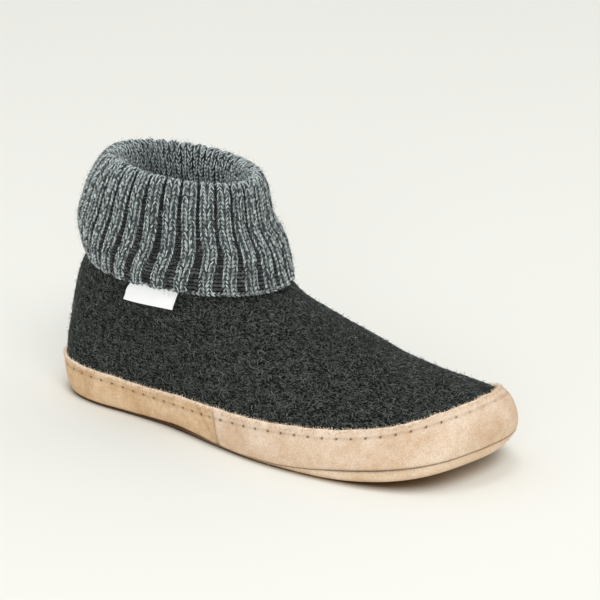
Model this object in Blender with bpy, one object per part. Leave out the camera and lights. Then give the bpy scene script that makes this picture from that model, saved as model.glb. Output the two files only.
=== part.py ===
# Felt slipper boot with a folded knit cuff: the right shoe of a pair, standing empty on its sole.
# Lengths are millimetres until the meshes are made; x runs from the heel back to the toe,
# y to the wearer's left (the inner side of this right shoe) and z up from the floor.
import bmesh
import bpy
import numpy as np

MM = 0.001

# Wall thicknesses and the gap between neighbouring pieces
GAP = 0.3
FELT = 3.0
SUEDE = 1.8
KNIT_WALL = 1.8
RIB_HEIGHT = 1.6

# Sole build-up above the outsole's underside
CORE_TOP = 9.5
INSOLE_THICKNESS = 4.0
EDGE_ROUNDING = 1.4

# The shape of the foot's arch sections
SHOULDER = 8.0
ARCH_RISE = 1.5
ARCH_CROWN = 2.2
UNDERCUT = 0.06
RIDGE_SHIFT = 6.0
RIDGE_START = 120.0
RIDGE_END = 256.0
SHAFT_SLOPE = 1.6

# The curve of the underside: flat heel and forefoot, a slight waist and the toe spring
WAIST_X = 105.0
WAIST_REACH = 45.0
WAIST_LIFT = 1.5
SPRING_START = 190.0
SPRING_RUN = 75.0
SPRING_LIFT = 11.7

# Counts around the shoe
COLUMNS = 56
RIBS = 32

# Where the two suede strips of the rand meet, as a turn from the heel back, and how far the seam
# leans forward from its top to its bottom
SEAM_TURN = 1.522
SEAM_SLANT = 0.041
SEAM_CLEAR = 0.045

# Rows of the rand from the felt's lower edge to its own top edge, as shares of that climb
STRIP_SHARES = (0.0, 0.264, 0.528, 0.79, 1.0)

# Rings of the felt's outer face, from the underside (row 0) to the collar.
# Each ring runs from a point on the heel line to a point on the toe and instep line.
RING_COLUMNS = ("heel_height", "heel_x", "front_x", "front_height", "oval_share", "oval_half")
RINGS = [
    (0.0, 5.6, 263.0, 0.0, 0.00, 40.0),
    (5.0, 4.7, 266.8, 5.0, 0.00, 40.0),
    (10.0, 4.2, 268.9, 10.0, 0.00, 40.0),
    (15.0, 4.0, 269.6, 16.0, 0.00, 40.0),
    (20.0, 4.0, 268.8, 22.0, 0.00, 40.0),
    (25.0, 4.2, 266.0, 28.0, 0.00, 40.0),
    (30.0, 4.8, 260.5, 33.0, 0.00, 40.0),
    (36.0, 5.7, 250.0, 37.4, 0.00, 40.0),
    (42.0, 6.8, 233.0, 42.4, 0.04, 41.0),
    (49.0, 8.1, 213.0, 47.3, 0.10, 41.5),
    (56.0, 9.5, 194.0, 52.5, 0.20, 42.0),
    (63.0, 11.0, 177.0, 58.5, 0.33, 42.0),
    (70.0, 13.2, 161.0, 64.5, 0.48, 41.5),
    (75.0, 16.0, 147.0, 69.8, 0.64, 40.3),
    (79.0, 22.5, 135.6, 74.3, 0.80, 38.6),
    (84.0, 25.0, 130.0, 81.0, 0.92, 37.2),
    (90.0, 26.0, 126.0, 90.0, 1.00, 36.2),
]

# The ring where the felt ends above the sole
FELT_LEVEL = 2

# Rings that are kept for the felt's inner face, from the collar down
INNER_LEVELS = (16.0, 14.0, 12.0, 10.0, 8.0, 6.0, 5.0, 4.0, 3.0, 2.0)

# Widest outline of the felt seen from above: half widths out from a centre line
PLAN_COLUMNS = ("x", "centre", "lateral", "medial")
PLAN = [
    (4.0, 0.0, 0.0, 0.0),
    (7.0, 0.0, 14.2, 14.2),
    (15.0, 0.0, 25.0, 25.0),
    (36.0, 0.0, 32.6, 32.6),
    (65.0, 0.0, 33.8, 31.8),
    (95.0, 0.0, 36.9, 32.8),
    (130.0, 0.0, 44.6, 38.5),
    (160.0, 0.0, 49.2, 44.5),
    (182.0, 0.5, 50.2, 45.8),
    (205.0, 1.2, 49.3, 44.8),
    (225.0, 2.2, 46.8, 42.6),
    (241.0, 3.6, 43.2, 39.0),
    (256.0, 6.2, 35.0, 30.0),
    (265.0, 8.2, 20.0, 18.0),
    (269.6, 9.0, 0.0, 0.0),
]

# Heights along the edge, above the underside: top of the outsole's edge, inset of that edge, rand's top
EDGE_COLUMNS = ("x", "outsole_edge", "edge_inset", "rand_top")
EDGE = [
    (0.0, 1.5, 1.0, 20.5),
    (50.0, 1.5, 1.0, 18.6),
    (100.0, 1.5, 1.0, 16.4),
    (150.0, 1.8, 0.6, 20.5),
    (180.0, 3.2, 0.2, 22.6),
    (205.0, 6.4, 0.0, 24.3),
    (235.0, 7.6, 0.0, 26.8),
    (255.0, 7.6, 0.0, 29.5),
    (272.0, 7.6, 0.0, 32.0),
]

# Rings of the knit cuff's rib tops, from the hem over the fold and down inside to the collar;
# swing draws the ribs towards the heel (negative), so they stand wider apart at the front
CUFF_COLUMNS = ("height", "centre_x", "half_length", "half_width", "tilt", "swing")
CUFF = [
    (77.6, 80.0, 60.6, 44.0, -0.025, -0.34),
    (84.0, 77.6, 61.0, 45.0, -0.03, -0.28),
    (92.0, 75.4, 61.4, 45.2, -0.04, -0.19),
    (100.0, 73.8, 60.2, 44.2, -0.05, -0.11),
    (109.0, 72.2, 55.8, 41.4, -0.05, -0.06),
    (118.5, 73.0, 52.8, 39.0, -0.06, -0.07),
    (128.0, 75.2, 49.3, 35.0, -0.065, -0.11),
    (133.8, 76.6, 44.2, 29.0, -0.065, -0.15),
    (131.0, 76.6, 38.4, 24.0, -0.065, -0.15),
    (121.0, 75.4, 34.6, 22.0, -0.05, -0.12),
    (108.0, 74.8, 35.0, 23.5, -0.03, -0.08),
    (97.0, 75.0, 41.0, 28.5, -0.01, -0.04),
    (90.3, 76.0, 46.4, 32.6, 0.00, 0.00),
]
CUFF_BACK_ROWS = (12, 10, 8, 6, 4, 2, 0)

# One rib of the cuff, as shares of its pitch: a flat top, a flank and a flat channel
RIB_SHARES = (0.12, 0.68, 0.82, 0.98)
RIB_LEVELS = (1.0, 1.0, 0.0, 0.0)

# The bare label tab that hangs below the cuff's hem on the outer side
LABEL_COLUMNS = 7
LABEL_THICKNESS = 0.7
# Height above the underside, both ends along the shoe and distance from the felt
LABEL_ROWS = [
    (65.0, 64.5, 100.0, 1.6),
    (72.3, 68.5, 102.2, 0.7),
    (78.6, 72.0, 104.0, 0.3),
]

# Colours, linear red, green and blue
CHARCOAL = (0.035, 0.039, 0.041, 1.0)
TAN = (0.68, 0.46, 0.29, 1.0)
PALE_TAN = (0.74, 0.52, 0.34, 1.0)
GREY = (0.17, 0.18, 0.18, 1.0)
WHITE = (0.85, 0.85, 0.84, 1.0)


def columns_of(names, rows):
    """Turn a table into one array per named column."""
    return dict(zip(names, np.array(rows, dtype=float).T))


ring = columns_of(RING_COLUMNS, RINGS)
plan = columns_of(PLAN_COLUMNS, PLAN)
edge = columns_of(EDGE_COLUMNS, EDGE)
cuff = columns_of(CUFF_COLUMNS, CUFF)

LEVELS = np.arange(len(RINGS), dtype=float)
TOP_LEVEL = LEVELS[-1]
WIDEST_LEVEL = int(np.argmax(ring["front_x"]))
TOE_X = ring["front_x"][WIDEST_LEVEL]
HEEL_X = ring["heel_x"].min()


def smooth(at, knots, values):
    """Read a column between its rows with a curve that has no kinks."""
    slopes = np.gradient(values, knots)
    cell = np.clip(np.searchsorted(knots, at) - 1, 0, len(knots) - 2)
    width = knots[cell + 1] - knots[cell]
    part = np.clip((at - knots[cell]) / width, 0.0, 1.0)
    rest = 1.0 - part
    ends = (1 + 2 * part) * rest**2 * values[cell] + (1 + 2 * rest) * part**2 * values[cell + 1]
    bends = part * rest**2 * slopes[cell] - rest * part**2 * slopes[cell + 1]
    return ends + width * bends


def lift(x):
    """Height of the sole's underside above the floor."""
    away = np.clip((x - WAIST_X) / WAIST_REACH, -1.0, 1.0)
    waist = WAIST_LIFT * 0.5 * (1 + np.cos(np.pi * away))
    spring = SPRING_LIFT * (np.clip(x - SPRING_START, 0.0, None) / SPRING_RUN) ** 2
    return waist + spring


def top_line(x):
    """Height of the toe and instep line over the underside, carried on up inside the shaft."""
    front_x = ring["front_x"][WIDEST_LEVEL:][::-1]
    front_height = ring["front_height"][WIDEST_LEVEL:][::-1]
    return np.interp(x, front_x, front_height) + SHAFT_SLOPE * np.clip(front_x[0] - x, 0.0, None)


def outline_turn(share):
    """Angle that spaces the outline evenly around its rounded ends."""
    return np.arccos(np.clip(1 - 2 * share, -1.0, 1.0))


def felt_face(level, turn):
    """Point on the felt's outer face: level 0 is the underside, turn 0 the heel back, pi the toe."""
    level, turn = np.broadcast_arrays(np.asarray(level, dtype=float), np.asarray(turn, dtype=float))
    here = {name: np.interp(level, LEVELS, values) for name, values in ring.items()}
    station = (1 - np.cos(turn)) / 2
    x = here["heel_x"] + (here["front_x"] - here["heel_x"]) * station
    height = here["heel_height"] + (here["front_height"] - here["heel_height"]) * station
    side = np.where(np.mod(turn, 2 * np.pi) < np.pi, -1.0, 1.0)

    toe_end = np.where(level < WIDEST_LEVEL, here["front_x"], TOE_X)
    around = outline_turn((x - here["heel_x"]) / (toe_end - here["heel_x"]))
    knots = outline_turn((plan["x"] - HEEL_X) / (TOE_X - HEEL_X))
    half = np.where(side < 0, smooth(around, knots, plan["lateral"]), smooth(around, knots, plan["medial"]))
    centre = smooth(around, knots, plan["centre"])

    arch = np.clip((height - SHOULDER) / (top_line(x) - SHOULDER), 0.0, 1.0)
    under = np.clip(1 - height / SHOULDER, 0.0, 1.0)
    foot = half * (1 - arch**ARCH_RISE) ** (1 / ARCH_CROWN) * (1 - UNDERCUT * under**2)
    ridge_part = np.clip((x - RIDGE_START) / (RIDGE_END - RIDGE_START), 0.0, 1.0)
    ridge = RIDGE_SHIFT * np.sin(np.pi * ridge_part) ** 2 * arch**2

    oval = here["oval_half"] * np.abs(np.sin(turn))
    share = here["oval_share"]
    y = (1 - share) * (centre + ridge + side * foot) + share * side * oval
    return np.stack([x, y, height + (1 - share) * lift(x)], axis=-1)


def unit(vectors):
    """Scale vectors to length one."""
    return vectors / np.linalg.norm(vectors, axis=-1, keepdims=True)


def felt_out(level, turn):
    """Outward direction of the felt's face."""
    step = 0.01
    along = felt_face(level, turn + step) - felt_face(level, turn - step)
    above = np.clip(level + 0.5, 0.0, TOP_LEVEL)
    below = np.clip(level - 0.5, 0.0, TOP_LEVEL)
    return unit(np.cross(along, felt_face(above, turn) - felt_face(below, turn)))


def felt_offset(level, turn, distance):
    """Point at a distance outside the felt's face."""
    level = np.broadcast_to(level, turn.shape)
    distance = np.broadcast_to(distance, turn.shape)
    return felt_face(level, turn) + distance[:, None] * felt_out(level, turn)


def level_at(height, turn):
    """Level whose ring passes a height above the underside, for each turn."""
    station = (1 - np.cos(turn)) / 2
    rows = ring["heel_height"][:, None] + np.outer(ring["front_height"] - ring["heel_height"], station)
    height = np.broadcast_to(height, turn.shape)
    return np.array([np.interp(height[i], rows[:, i], LEVELS) for i in range(len(turn))])


def turn_at(x, height):
    """Turn on the outer side where the felt's ring near a height passes each x."""
    level = np.interp(height, ring["heel_height"], LEVELS)
    heel_x = np.interp(level, LEVELS, ring["heel_x"])
    front_x = np.interp(level, LEVELS, ring["front_x"])
    return outline_turn((x - heel_x) / (front_x - heel_x))


def flat_ring(height, turn, distance):
    """Ring at one height above the underside and a distance outside the felt's face."""
    points = felt_offset(level_at(height, turn), turn, distance)
    points[:, 2] = height + lift(points[:, 0])
    return points


def edge_at(name, turn):
    """Value of an edge column at each turn."""
    x = HEEL_X + (TOE_X - HEEL_X) * (1 - np.cos(turn)) / 2
    return smooth(x, edge["x"], edge[name])


def grid_faces(rows, columns, close_rows, close_columns):
    """Quads of a grid of points, wrapped round where asked."""
    faces = []
    for row in range(rows if close_rows else rows - 1):
        for column in range(columns if close_columns else columns - 1):
            next_row = (row + 1) % rows
            next_column = (column + 1) % columns
            faces.append(
                (
                    row * columns + column,
                    row * columns + next_column,
                    next_row * columns + next_column,
                    next_row * columns + column,
                )
            )
    return faces


def ladder_faces(first, count):
    """Close a ring with rungs from its outer side to its inner side."""
    half = count // 2
    faces = [(first, first + 1, first + count - 1)]
    for rung in range(1, half - 1):
        faces.append((first + rung, first + rung + 1, first + count - rung - 1, first + count - rung))
    faces.append((first + half - 1, first + half, first + half + 1))
    return faces


def add_piece(name, points, faces, color, roughness):
    """Keep one closed solid, its points in millimetres, until the part's box is known."""
    pieces.append((name, points.reshape(-1, 3), faces, color, roughness))


def make_object(name, points, faces, color, roughness):
    """Turn a kept solid into an object with its own material."""
    mesh = bpy.data.meshes.new(name)
    mesh.from_pydata((points * MM).tolist(), [], faces)
    shape = bmesh.new()
    shape.from_mesh(mesh)
    bmesh.ops.recalc_face_normals(shape, faces=shape.faces)
    bmesh.ops.triangulate(shape, faces=shape.faces)
    shape.to_mesh(mesh)
    shape.free()
    material = bpy.data.materials.new(name)
    material.use_nodes = True
    surface = material.node_tree.nodes["Principled BSDF"]
    surface.inputs["Base Color"].default_value = color
    surface.inputs["Roughness"].default_value = roughness
    mesh.materials.append(material)
    bpy.context.scene.collection.objects.link(bpy.data.objects.new(name, mesh))


def add_slab(name, rings, color, roughness):
    """Make a solid from rings stacked upward, closed below and above."""
    points = np.stack(rings)
    rows, columns = points.shape[:2]
    faces = grid_faces(rows, columns, False, True)
    faces += ladder_faces(0, columns)
    faces += ladder_faces((rows - 1) * columns, columns)
    add_piece(name, points, faces, color, roughness)


def add_strip(name, rings, color, roughness):
    """Make a strip whose section is closed by the rings in order, with two cut ends."""
    points = np.stack(rings)
    rows, columns = points.shape[:2]
    faces = grid_faces(rows, columns, True, False)
    for column in (0, columns - 1):
        for row in range(rows // 2 - 1):
            corners = (row, row + 1, rows - row - 2, rows - row - 1)
            faces.append(tuple(corner * columns + column for corner in corners))
    add_piece(name, points, faces, color, roughness)


def cuff_face(row, turn):
    """Point on the rib tops of the cuff: row 0 is the hem, the last row the collar seam."""
    row, turn = np.broadcast_arrays(np.asarray(row, dtype=float), np.asarray(turn, dtype=float))
    rows = np.arange(len(CUFF), dtype=float)
    here = {name: smooth(row, rows, values) for name, values in cuff.items()}
    turn = turn + here["swing"] * np.sin(turn)
    x = here["centre_x"] - here["half_length"] * np.cos(turn)
    y = -here["half_width"] * np.sin(turn)
    z = here["height"] + here["tilt"] * (x - here["centre_x"])
    return np.stack([x, y, z], axis=-1)


def cuff_depth(row, turn, depth):
    """Point at a depth under the rib tops of the cuff."""
    step = 0.01
    along = cuff_face(row, turn + step) - cuff_face(row, turn - step)
    above = np.clip(row + 0.5, 0.0, len(CUFF) - 1.0)
    below = np.clip(row - 0.5, 0.0, len(CUFF) - 1.0)
    out = unit(np.cross(along, cuff_face(above, turn) - cuff_face(below, turn)))
    return cuff_face(row, turn) - depth[:, None] * out


for item in list(bpy.data.objects):
    bpy.data.objects.remove(item)

turns = np.linspace(0.0, 2 * np.pi, COLUMNS, endpoint=False)

rand_out = GAP + SUEDE
pieces = []

# Outsole: a suede-covered sole with a full edge at the front, stepped in for the rand to cover
outsole_edge = edge_at("outsole_edge", turns)
edge_out = rand_out - edge_at("edge_inset", turns)
outsole_rings = [
    flat_ring(0.0, turns, edge_out - EDGE_ROUNDING),
    flat_ring(0.5 * EDGE_ROUNDING, turns, edge_out),
    flat_ring(outsole_edge, turns, edge_out),
    flat_ring(outsole_edge, turns, 0.0),
    flat_ring(CORE_TOP, turns, 0.0),
]
add_slab("outsole", outsole_rings, PALE_TAN, 0.9)

# Insole: lies on the sole inside the felt
insole_bottom = CORE_TOP + GAP
insole_rings = [
    flat_ring(insole_bottom, turns, -FELT - 2 * GAP),
    flat_ring(insole_bottom + INSOLE_THICKNESS, turns, -FELT - 2 * GAP),
]
add_slab("insole", insole_rings, GREY, 0.95)

# Upper: one hollow felt shell, open at the collar and underneath
outer_levels = LEVELS[FELT_LEVEL:]
outer_rings = [felt_face(level, turns) for level in outer_levels]
inner_rings = [felt_offset(level, turns, -FELT) for level in INNER_LEVELS]
inner_rings[0][:, 2] = outer_rings[-1][:, 2]
inner_rings[-1][:, 2] = outer_rings[0][:, 2]
shell = np.stack(outer_rings + inner_rings)
shell_faces = grid_faces(len(shell), COLUMNS, True, True)
add_piece("upper", shell, shell_faces, CHARCOAL, 0.95)

# Rand: two suede strips that follow the felt and the sole's edge, butted at two side seams
seam_half = GAP / (TOE_X - HEEL_X)
strips = (
    ("rand_heel", -SEAM_TURN + seam_half, SEAM_TURN - seam_half, -1.0, TAN),
    ("rand_front", SEAM_TURN + seam_half, 2 * np.pi - SEAM_TURN - seam_half, 1.0, PALE_TAN),
)
for name, start, end, way, color in strips:
    around = np.concatenate([turns - 2 * np.pi, turns])
    between = around[(around > start + SEAM_CLEAR) & (around < end - SEAM_CLEAR)]
    strip_turns = np.concatenate([[start], between, [end]])
    slant = np.zeros(len(strip_turns))
    slant[0] = way * SEAM_SLANT
    slant[-1] = -way * SEAM_SLANT
    bottom_turns = strip_turns + 0.5 * slant
    low = edge_at("outsole_edge", bottom_turns) + GAP
    outside = [flat_ring(low, bottom_turns, rand_out)]
    inside = [flat_ring(low, bottom_turns, GAP)]
    for share in STRIP_SHARES:
        row_turns = strip_turns + (0.5 - share) * slant
        climb = level_at(edge_at("rand_top", row_turns), row_turns) - FELT_LEVEL
        outside.append(felt_offset(FELT_LEVEL + share * climb, row_turns, rand_out))
        inside.append(felt_offset(FELT_LEVEL + share * climb, row_turns, GAP))
    add_strip(name, outside + inside[::-1], color, 0.9)

# Cuff: a knit tube sewn to the collar and folded down over the felt, with raised ribs on its face
pitch = 2 * np.pi / RIBS
cuff_turns = (np.arange(RIBS)[:, None] + np.array(RIB_SHARES)).ravel() * pitch
rib_levels = np.tile(RIB_LEVELS, RIBS)
face_depth = RIB_HEIGHT * (1 - rib_levels)
back_depth = np.full(len(cuff_turns), RIB_HEIGHT + KNIT_WALL)
face_rings = [cuff_depth(float(row), cuff_turns, face_depth) for row in range(len(CUFF))]
back_rings = [cuff_depth(float(row), cuff_turns, back_depth) for row in CUFF_BACK_ROWS]
back_rings[0][:, 2] = face_rings[-1][:, 2]
folded = np.stack(face_rings + back_rings)
cuff_faces = grid_faces(len(folded), len(cuff_turns), True, True)
add_piece("cuff", folded, cuff_faces, GREY, 0.95)

# Label tab: a bare woven tab below the hem, following the felt
label_outside = []
label_inside = []
for height, start_x, end_x, distance in LABEL_ROWS:
    label_turns = turn_at(np.linspace(start_x, end_x, LABEL_COLUMNS), height)
    label_level = level_at(height, label_turns)
    label_outside.append(felt_offset(label_level, label_turns, distance + LABEL_THICKNESS))
    label_inside.append(felt_offset(label_level, label_turns, distance))
add_strip("label_tab", label_outside + label_inside[::-1], WHITE, 0.8)

# The origin goes on the floor under the middle of the part's box
every_point = np.concatenate([points for _, points, _, _, _ in pieces])
origin = (every_point.min(axis=0) + every_point.max(axis=0)) / 2
origin[2] = 0.0
for name, points, faces, color, roughness in pieces:
    make_object(name, points - origin, faces, color, roughness)
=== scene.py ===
# %% [markdown]
# # A felt slipper boot with a folded knit cuff
# One slipper boot for the right foot stands empty on a pale floor. It has a seamless charcoal felt shell,
# a tan suede rand and sole, and a grey ribbed knit cuff that is folded down over the ankle.
# The imported CAD model says where every piece is. This lesson dresses each piece as the real material,
# so it starts by loading that model.

import bmesh
import bpy
import numpy as np
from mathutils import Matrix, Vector, noise


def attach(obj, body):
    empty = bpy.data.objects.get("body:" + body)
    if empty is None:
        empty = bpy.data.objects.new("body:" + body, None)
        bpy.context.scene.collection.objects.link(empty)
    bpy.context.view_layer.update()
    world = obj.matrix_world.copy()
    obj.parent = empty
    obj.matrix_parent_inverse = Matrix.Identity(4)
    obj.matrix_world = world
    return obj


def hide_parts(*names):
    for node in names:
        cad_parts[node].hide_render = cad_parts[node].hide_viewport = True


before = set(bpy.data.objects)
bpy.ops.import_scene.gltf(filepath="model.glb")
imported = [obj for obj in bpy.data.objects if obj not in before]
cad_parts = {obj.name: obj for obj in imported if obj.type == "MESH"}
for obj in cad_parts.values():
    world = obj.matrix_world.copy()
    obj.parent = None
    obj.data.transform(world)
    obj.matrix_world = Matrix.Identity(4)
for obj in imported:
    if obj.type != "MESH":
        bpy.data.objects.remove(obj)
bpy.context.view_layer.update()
print("CAD nodes:", sorted(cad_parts))

# %% [markdown]
# ## The shapes, as the CAD model has them
# The boot was drawn from a few tables of rings in millimetres, with x from the heel back to the toe,
# y towards the inner side of the foot and z up. The same tables are used again here, because felt,
# suede and knit follow those rings, only with many more points. Only the heel's lower corner differs: it
# is tucked in a few millimetres further, as soft suede is there. A mesh could be subdivided instead, but
# a surface that is written as a formula can be asked for a point and its outward direction anywhere.

# %% Sizes, and tables of the felt shell and of the sole's edge
MM = 0.001
ORIGIN = np.array([136.795, -1.681, 0.0])

GAP = 0.3
FELT = 3.0
SUEDE = 1.8
KNIT_WALL = 1.8
RIB_HEIGHT = 1.6
CORE_TOP = 9.5
INSOLE_THICKNESS = 4.0
RIBS = 32

RING_COLUMNS = ("heel_height", "heel_x", "front_x", "front_height", "oval_share", "oval_half")
RINGS = [
    (0.0, 10.0, 263.0, 0.0, 0.00, 40.0),
    (5.0, 7.6, 266.8, 5.0, 0.00, 40.0),
    (10.0, 5.7, 268.9, 10.0, 0.00, 40.0),
    (15.0, 4.6, 269.6, 16.0, 0.00, 40.0),
    (20.0, 4.0, 268.8, 22.0, 0.00, 40.0),
    (25.0, 4.2, 266.0, 28.0, 0.00, 40.0),
    (30.0, 4.8, 260.5, 33.0, 0.00, 40.0),
    (36.0, 5.7, 250.0, 37.4, 0.00, 40.0),
    (42.0, 6.8, 233.0, 42.4, 0.04, 41.0),
    (49.0, 8.1, 213.0, 47.3, 0.10, 41.5),
    (56.0, 9.5, 194.0, 52.5, 0.20, 42.0),
    (63.0, 11.0, 177.0, 58.5, 0.33, 42.0),
    (70.0, 13.2, 161.0, 64.5, 0.48, 41.5),
    (75.0, 16.0, 147.0, 69.8, 0.64, 40.3),
    (79.0, 22.5, 135.6, 74.3, 0.80, 38.6),
    (84.0, 25.0, 130.0, 81.0, 0.92, 37.2),
    (90.0, 26.0, 126.0, 90.0, 1.00, 36.2),
]
PLAN_COLUMNS = ("x", "centre", "lateral", "medial")
PLAN = [
    (4.0, 0.0, 0.0, 0.0),
    (7.0, 0.0, 14.2, 14.2),
    (15.0, 0.0, 25.0, 25.0),
    (36.0, 0.0, 32.6, 32.6),
    (65.0, 0.0, 33.8, 31.8),
    (95.0, 0.0, 36.9, 32.8),
    (130.0, 0.0, 44.6, 38.5),
    (160.0, 0.0, 49.2, 44.5),
    (182.0, 0.5, 50.2, 45.8),
    (205.0, 1.2, 49.3, 44.8),
    (225.0, 2.2, 46.8, 42.6),
    (241.0, 3.6, 43.2, 39.0),
    (256.0, 6.2, 35.0, 30.0),
    (265.0, 8.2, 20.0, 18.0),
    (269.6, 9.0, 0.0, 0.0),
]
EDGE_COLUMNS = ("x", "outsole_edge", "edge_inset", "rand_top")
EDGE = [
    (0.0, 1.5, 1.0, 20.5),
    (50.0, 1.5, 1.0, 18.6),
    (100.0, 1.5, 1.0, 16.4),
    (150.0, 1.8, 0.6, 20.5),
    (180.0, 3.2, 0.2, 22.6),
    (205.0, 6.4, 0.0, 24.3),
    (235.0, 7.6, 0.0, 26.8),
    (255.0, 7.6, 0.0, 29.5),
    (272.0, 7.6, 0.0, 32.0),
]


def columns_of(names, rows):
    """Turn a table into one array per named column."""
    return dict(zip(names, np.array(rows, dtype=float).T))


ring = columns_of(RING_COLUMNS, RINGS)
plan = columns_of(PLAN_COLUMNS, PLAN)
edge = columns_of(EDGE_COLUMNS, EDGE)
print("felt shell:", len(RINGS), "rings of", len(RING_COLUMNS), "values")

# %% Tables of the cuff and of the label
CUFF_COLUMNS = ("height", "centre_x", "half_length", "half_width", "tilt", "swing")
CUFF = [
    (77.6, 80.0, 60.6, 44.0, -0.025, -0.34),
    (84.0, 77.6, 61.0, 45.0, -0.03, -0.28),
    (92.0, 75.4, 61.4, 45.2, -0.04, -0.19),
    (100.0, 73.8, 60.2, 44.2, -0.05, -0.11),
    (109.0, 72.2, 55.8, 41.4, -0.05, -0.06),
    (118.5, 73.0, 52.8, 39.0, -0.06, -0.07),
    (128.0, 75.2, 49.3, 35.0, -0.065, -0.11),
    (133.8, 76.6, 44.2, 29.0, -0.065, -0.15),
    (131.0, 76.6, 38.4, 24.0, -0.065, -0.15),
    (121.0, 75.4, 34.6, 22.0, -0.05, -0.12),
    (108.0, 74.8, 35.0, 23.5, -0.03, -0.08),
    (97.0, 75.0, 41.0, 28.5, -0.01, -0.04),
    (90.3, 76.0, 46.4, 32.6, 0.00, 0.00),
]
LABEL_COLUMNS = ("height", "start_x", "end_x", "distance")
LABEL = [
    (65.0, 64.5, 100.0, 1.6),
    (72.3, 68.5, 102.2, 0.7),
    (78.6, 72.0, 104.0, 0.3),
]
LABEL_THICKNESS = 0.7
cuff = columns_of(CUFF_COLUMNS, CUFF)
label = columns_of(LABEL_COLUMNS, LABEL)
print("cuff:", len(CUFF), "rings; label:", len(LABEL), "rows")

# %% [markdown]
# ## Reading the tables as smooth surfaces
# A table has few rows, and straight lines between them would show as flat bands on soft felt.
# A cubic that keeps its slope through every row gives the soft change of curve that a lasted shoe has.
# The felt's face is then one function of a level, from sole to collar, and a turn around the shoe:
# 0 at the heel back, pi at the toe, and the outer side of the foot between them.

# %% Read a table with a curve
def smooth(at, knots, values):
    """Read a column between its rows with a curve that has no kinks."""
    slopes = np.gradient(values, knots)
    cell = np.clip(np.searchsorted(knots, at) - 1, 0, len(knots) - 2)
    width = knots[cell + 1] - knots[cell]
    part = np.clip((at - knots[cell]) / width, 0.0, 1.0)
    rest = 1.0 - part
    ends = (1 + 2 * part) * rest**2 * values[cell] + (1 + 2 * rest) * part**2 * values[cell + 1]
    bends = part * rest**2 * slopes[cell] - rest * part**2 * slopes[cell + 1]
    return ends + width * bends


LEVELS = np.arange(len(RINGS), dtype=float)
TOP_LEVEL = LEVELS[-1]
WIDEST_LEVEL = int(np.argmax(ring["front_x"]))
TOE_X = ring["front_x"][WIDEST_LEVEL]
HEEL_X = ring["heel_x"].min()
print("from the heel back to the toe:", HEEL_X, "to", TOE_X, "mm")

# %% The lift of the sole, and the line of toe and instep
SHAFT_SLOPE = 1.6
WAIST_X = 105.0
WAIST_REACH = 45.0
WAIST_LIFT = 1.5
SPRING_START = 190.0
SPRING_RUN = 75.0
SPRING_LIFT = 11.7
CREST_POINTS = 3000
crest_levels = np.linspace(TOP_LEVEL, WIDEST_LEVEL, CREST_POINTS)
crest_x = smooth(crest_levels, LEVELS, ring["front_x"])
crest_height = smooth(crest_levels, LEVELS, ring["front_height"])


def lift(x):
    """Height of the sole's underside above the floor."""
    away = np.clip((x - WAIST_X) / WAIST_REACH, -1.0, 1.0)
    waist = WAIST_LIFT * 0.5 * (1 + np.cos(np.pi * away))
    spring = SPRING_LIFT * (np.clip(x - SPRING_START, 0.0, None) / SPRING_RUN) ** 2
    return waist + spring


def top_line(x):
    """Height of the toe and instep line over the underside, carried on up inside the shaft."""
    return np.interp(x, crest_x, crest_height) + SHAFT_SLOPE * np.clip(crest_x[0] - x, 0.0, None)


print("lift of the sole at the toe:", round(float(lift(TOE_X)), 1), "mm")

# %% The felt's face as a function
SHOULDER = 8.0
ARCH_RISE = 1.5
ARCH_CROWN = 2.2
UNDERCUT = 0.06
RIDGE_SHIFT = 6.0
RIDGE_START = 120.0
RIDGE_END = 256.0


def outline_turn(share):
    """Angle that spaces the outline evenly around its rounded ends."""
    return np.arccos(np.clip(1 - 2 * share, -1.0, 1.0))


def felt_face(level, turn):
    """Point on the felt's outer face, in millimetres from the heel."""
    level, turn = np.broadcast_arrays(np.asarray(level, dtype=float), np.asarray(turn, dtype=float))
    here = {name: smooth(level, LEVELS, values) for name, values in ring.items()}
    station = (1 - np.cos(turn)) / 2
    x = here["heel_x"] + (here["front_x"] - here["heel_x"]) * station
    height = here["heel_height"] + (here["front_height"] - here["heel_height"]) * station
    side = np.where(np.mod(turn, 2 * np.pi) < np.pi, -1.0, 1.0)

    toe_end = np.where(level < WIDEST_LEVEL, here["front_x"], TOE_X)
    around = outline_turn((x - here["heel_x"]) / (toe_end - here["heel_x"]))
    knots = outline_turn((plan["x"] - HEEL_X) / (TOE_X - HEEL_X))
    half = np.where(side < 0, smooth(around, knots, plan["lateral"]), smooth(around, knots, plan["medial"]))
    centre = smooth(around, knots, plan["centre"])

    arch = np.clip((height - SHOULDER) / (top_line(x) - SHOULDER), 0.0, 1.0)
    on_crest = (np.abs(np.mod(turn, 2 * np.pi) - np.pi) < 1e-6) & (level >= WIDEST_LEVEL)
    arch = np.where(on_crest, 1.0, arch)
    under = np.clip(1 - height / SHOULDER, 0.0, 1.0)
    foot = half * (1 - arch**ARCH_RISE) ** (1 / ARCH_CROWN) * (1 - UNDERCUT * under**2)
    ridge_part = np.clip((x - RIDGE_START) / (RIDGE_END - RIDGE_START), 0.0, 1.0)
    ridge = RIDGE_SHIFT * np.sin(np.pi * ridge_part) ** 2 * arch**2

    oval = here["oval_half"] * np.abs(np.sin(turn))
    share = here["oval_share"]
    y = (1 - share) * (centre + ridge + side * foot) + share * side * oval
    return np.stack([x, y, height + (1 - share) * lift(x)], axis=-1)


print("instep height over the ball:", round(float(felt_face(9.0, np.pi)[2]), 1), "mm")

# %% [markdown]
# ## Walking on that surface
# Suede, fibres and threads lie at a distance from the felt, so they need its outward direction.
# It comes from two short steps on the surface, one around the shoe and one upwards: their cross
# product points out. Other helpers turn a height into a level, since the tables are given in heights.

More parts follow.
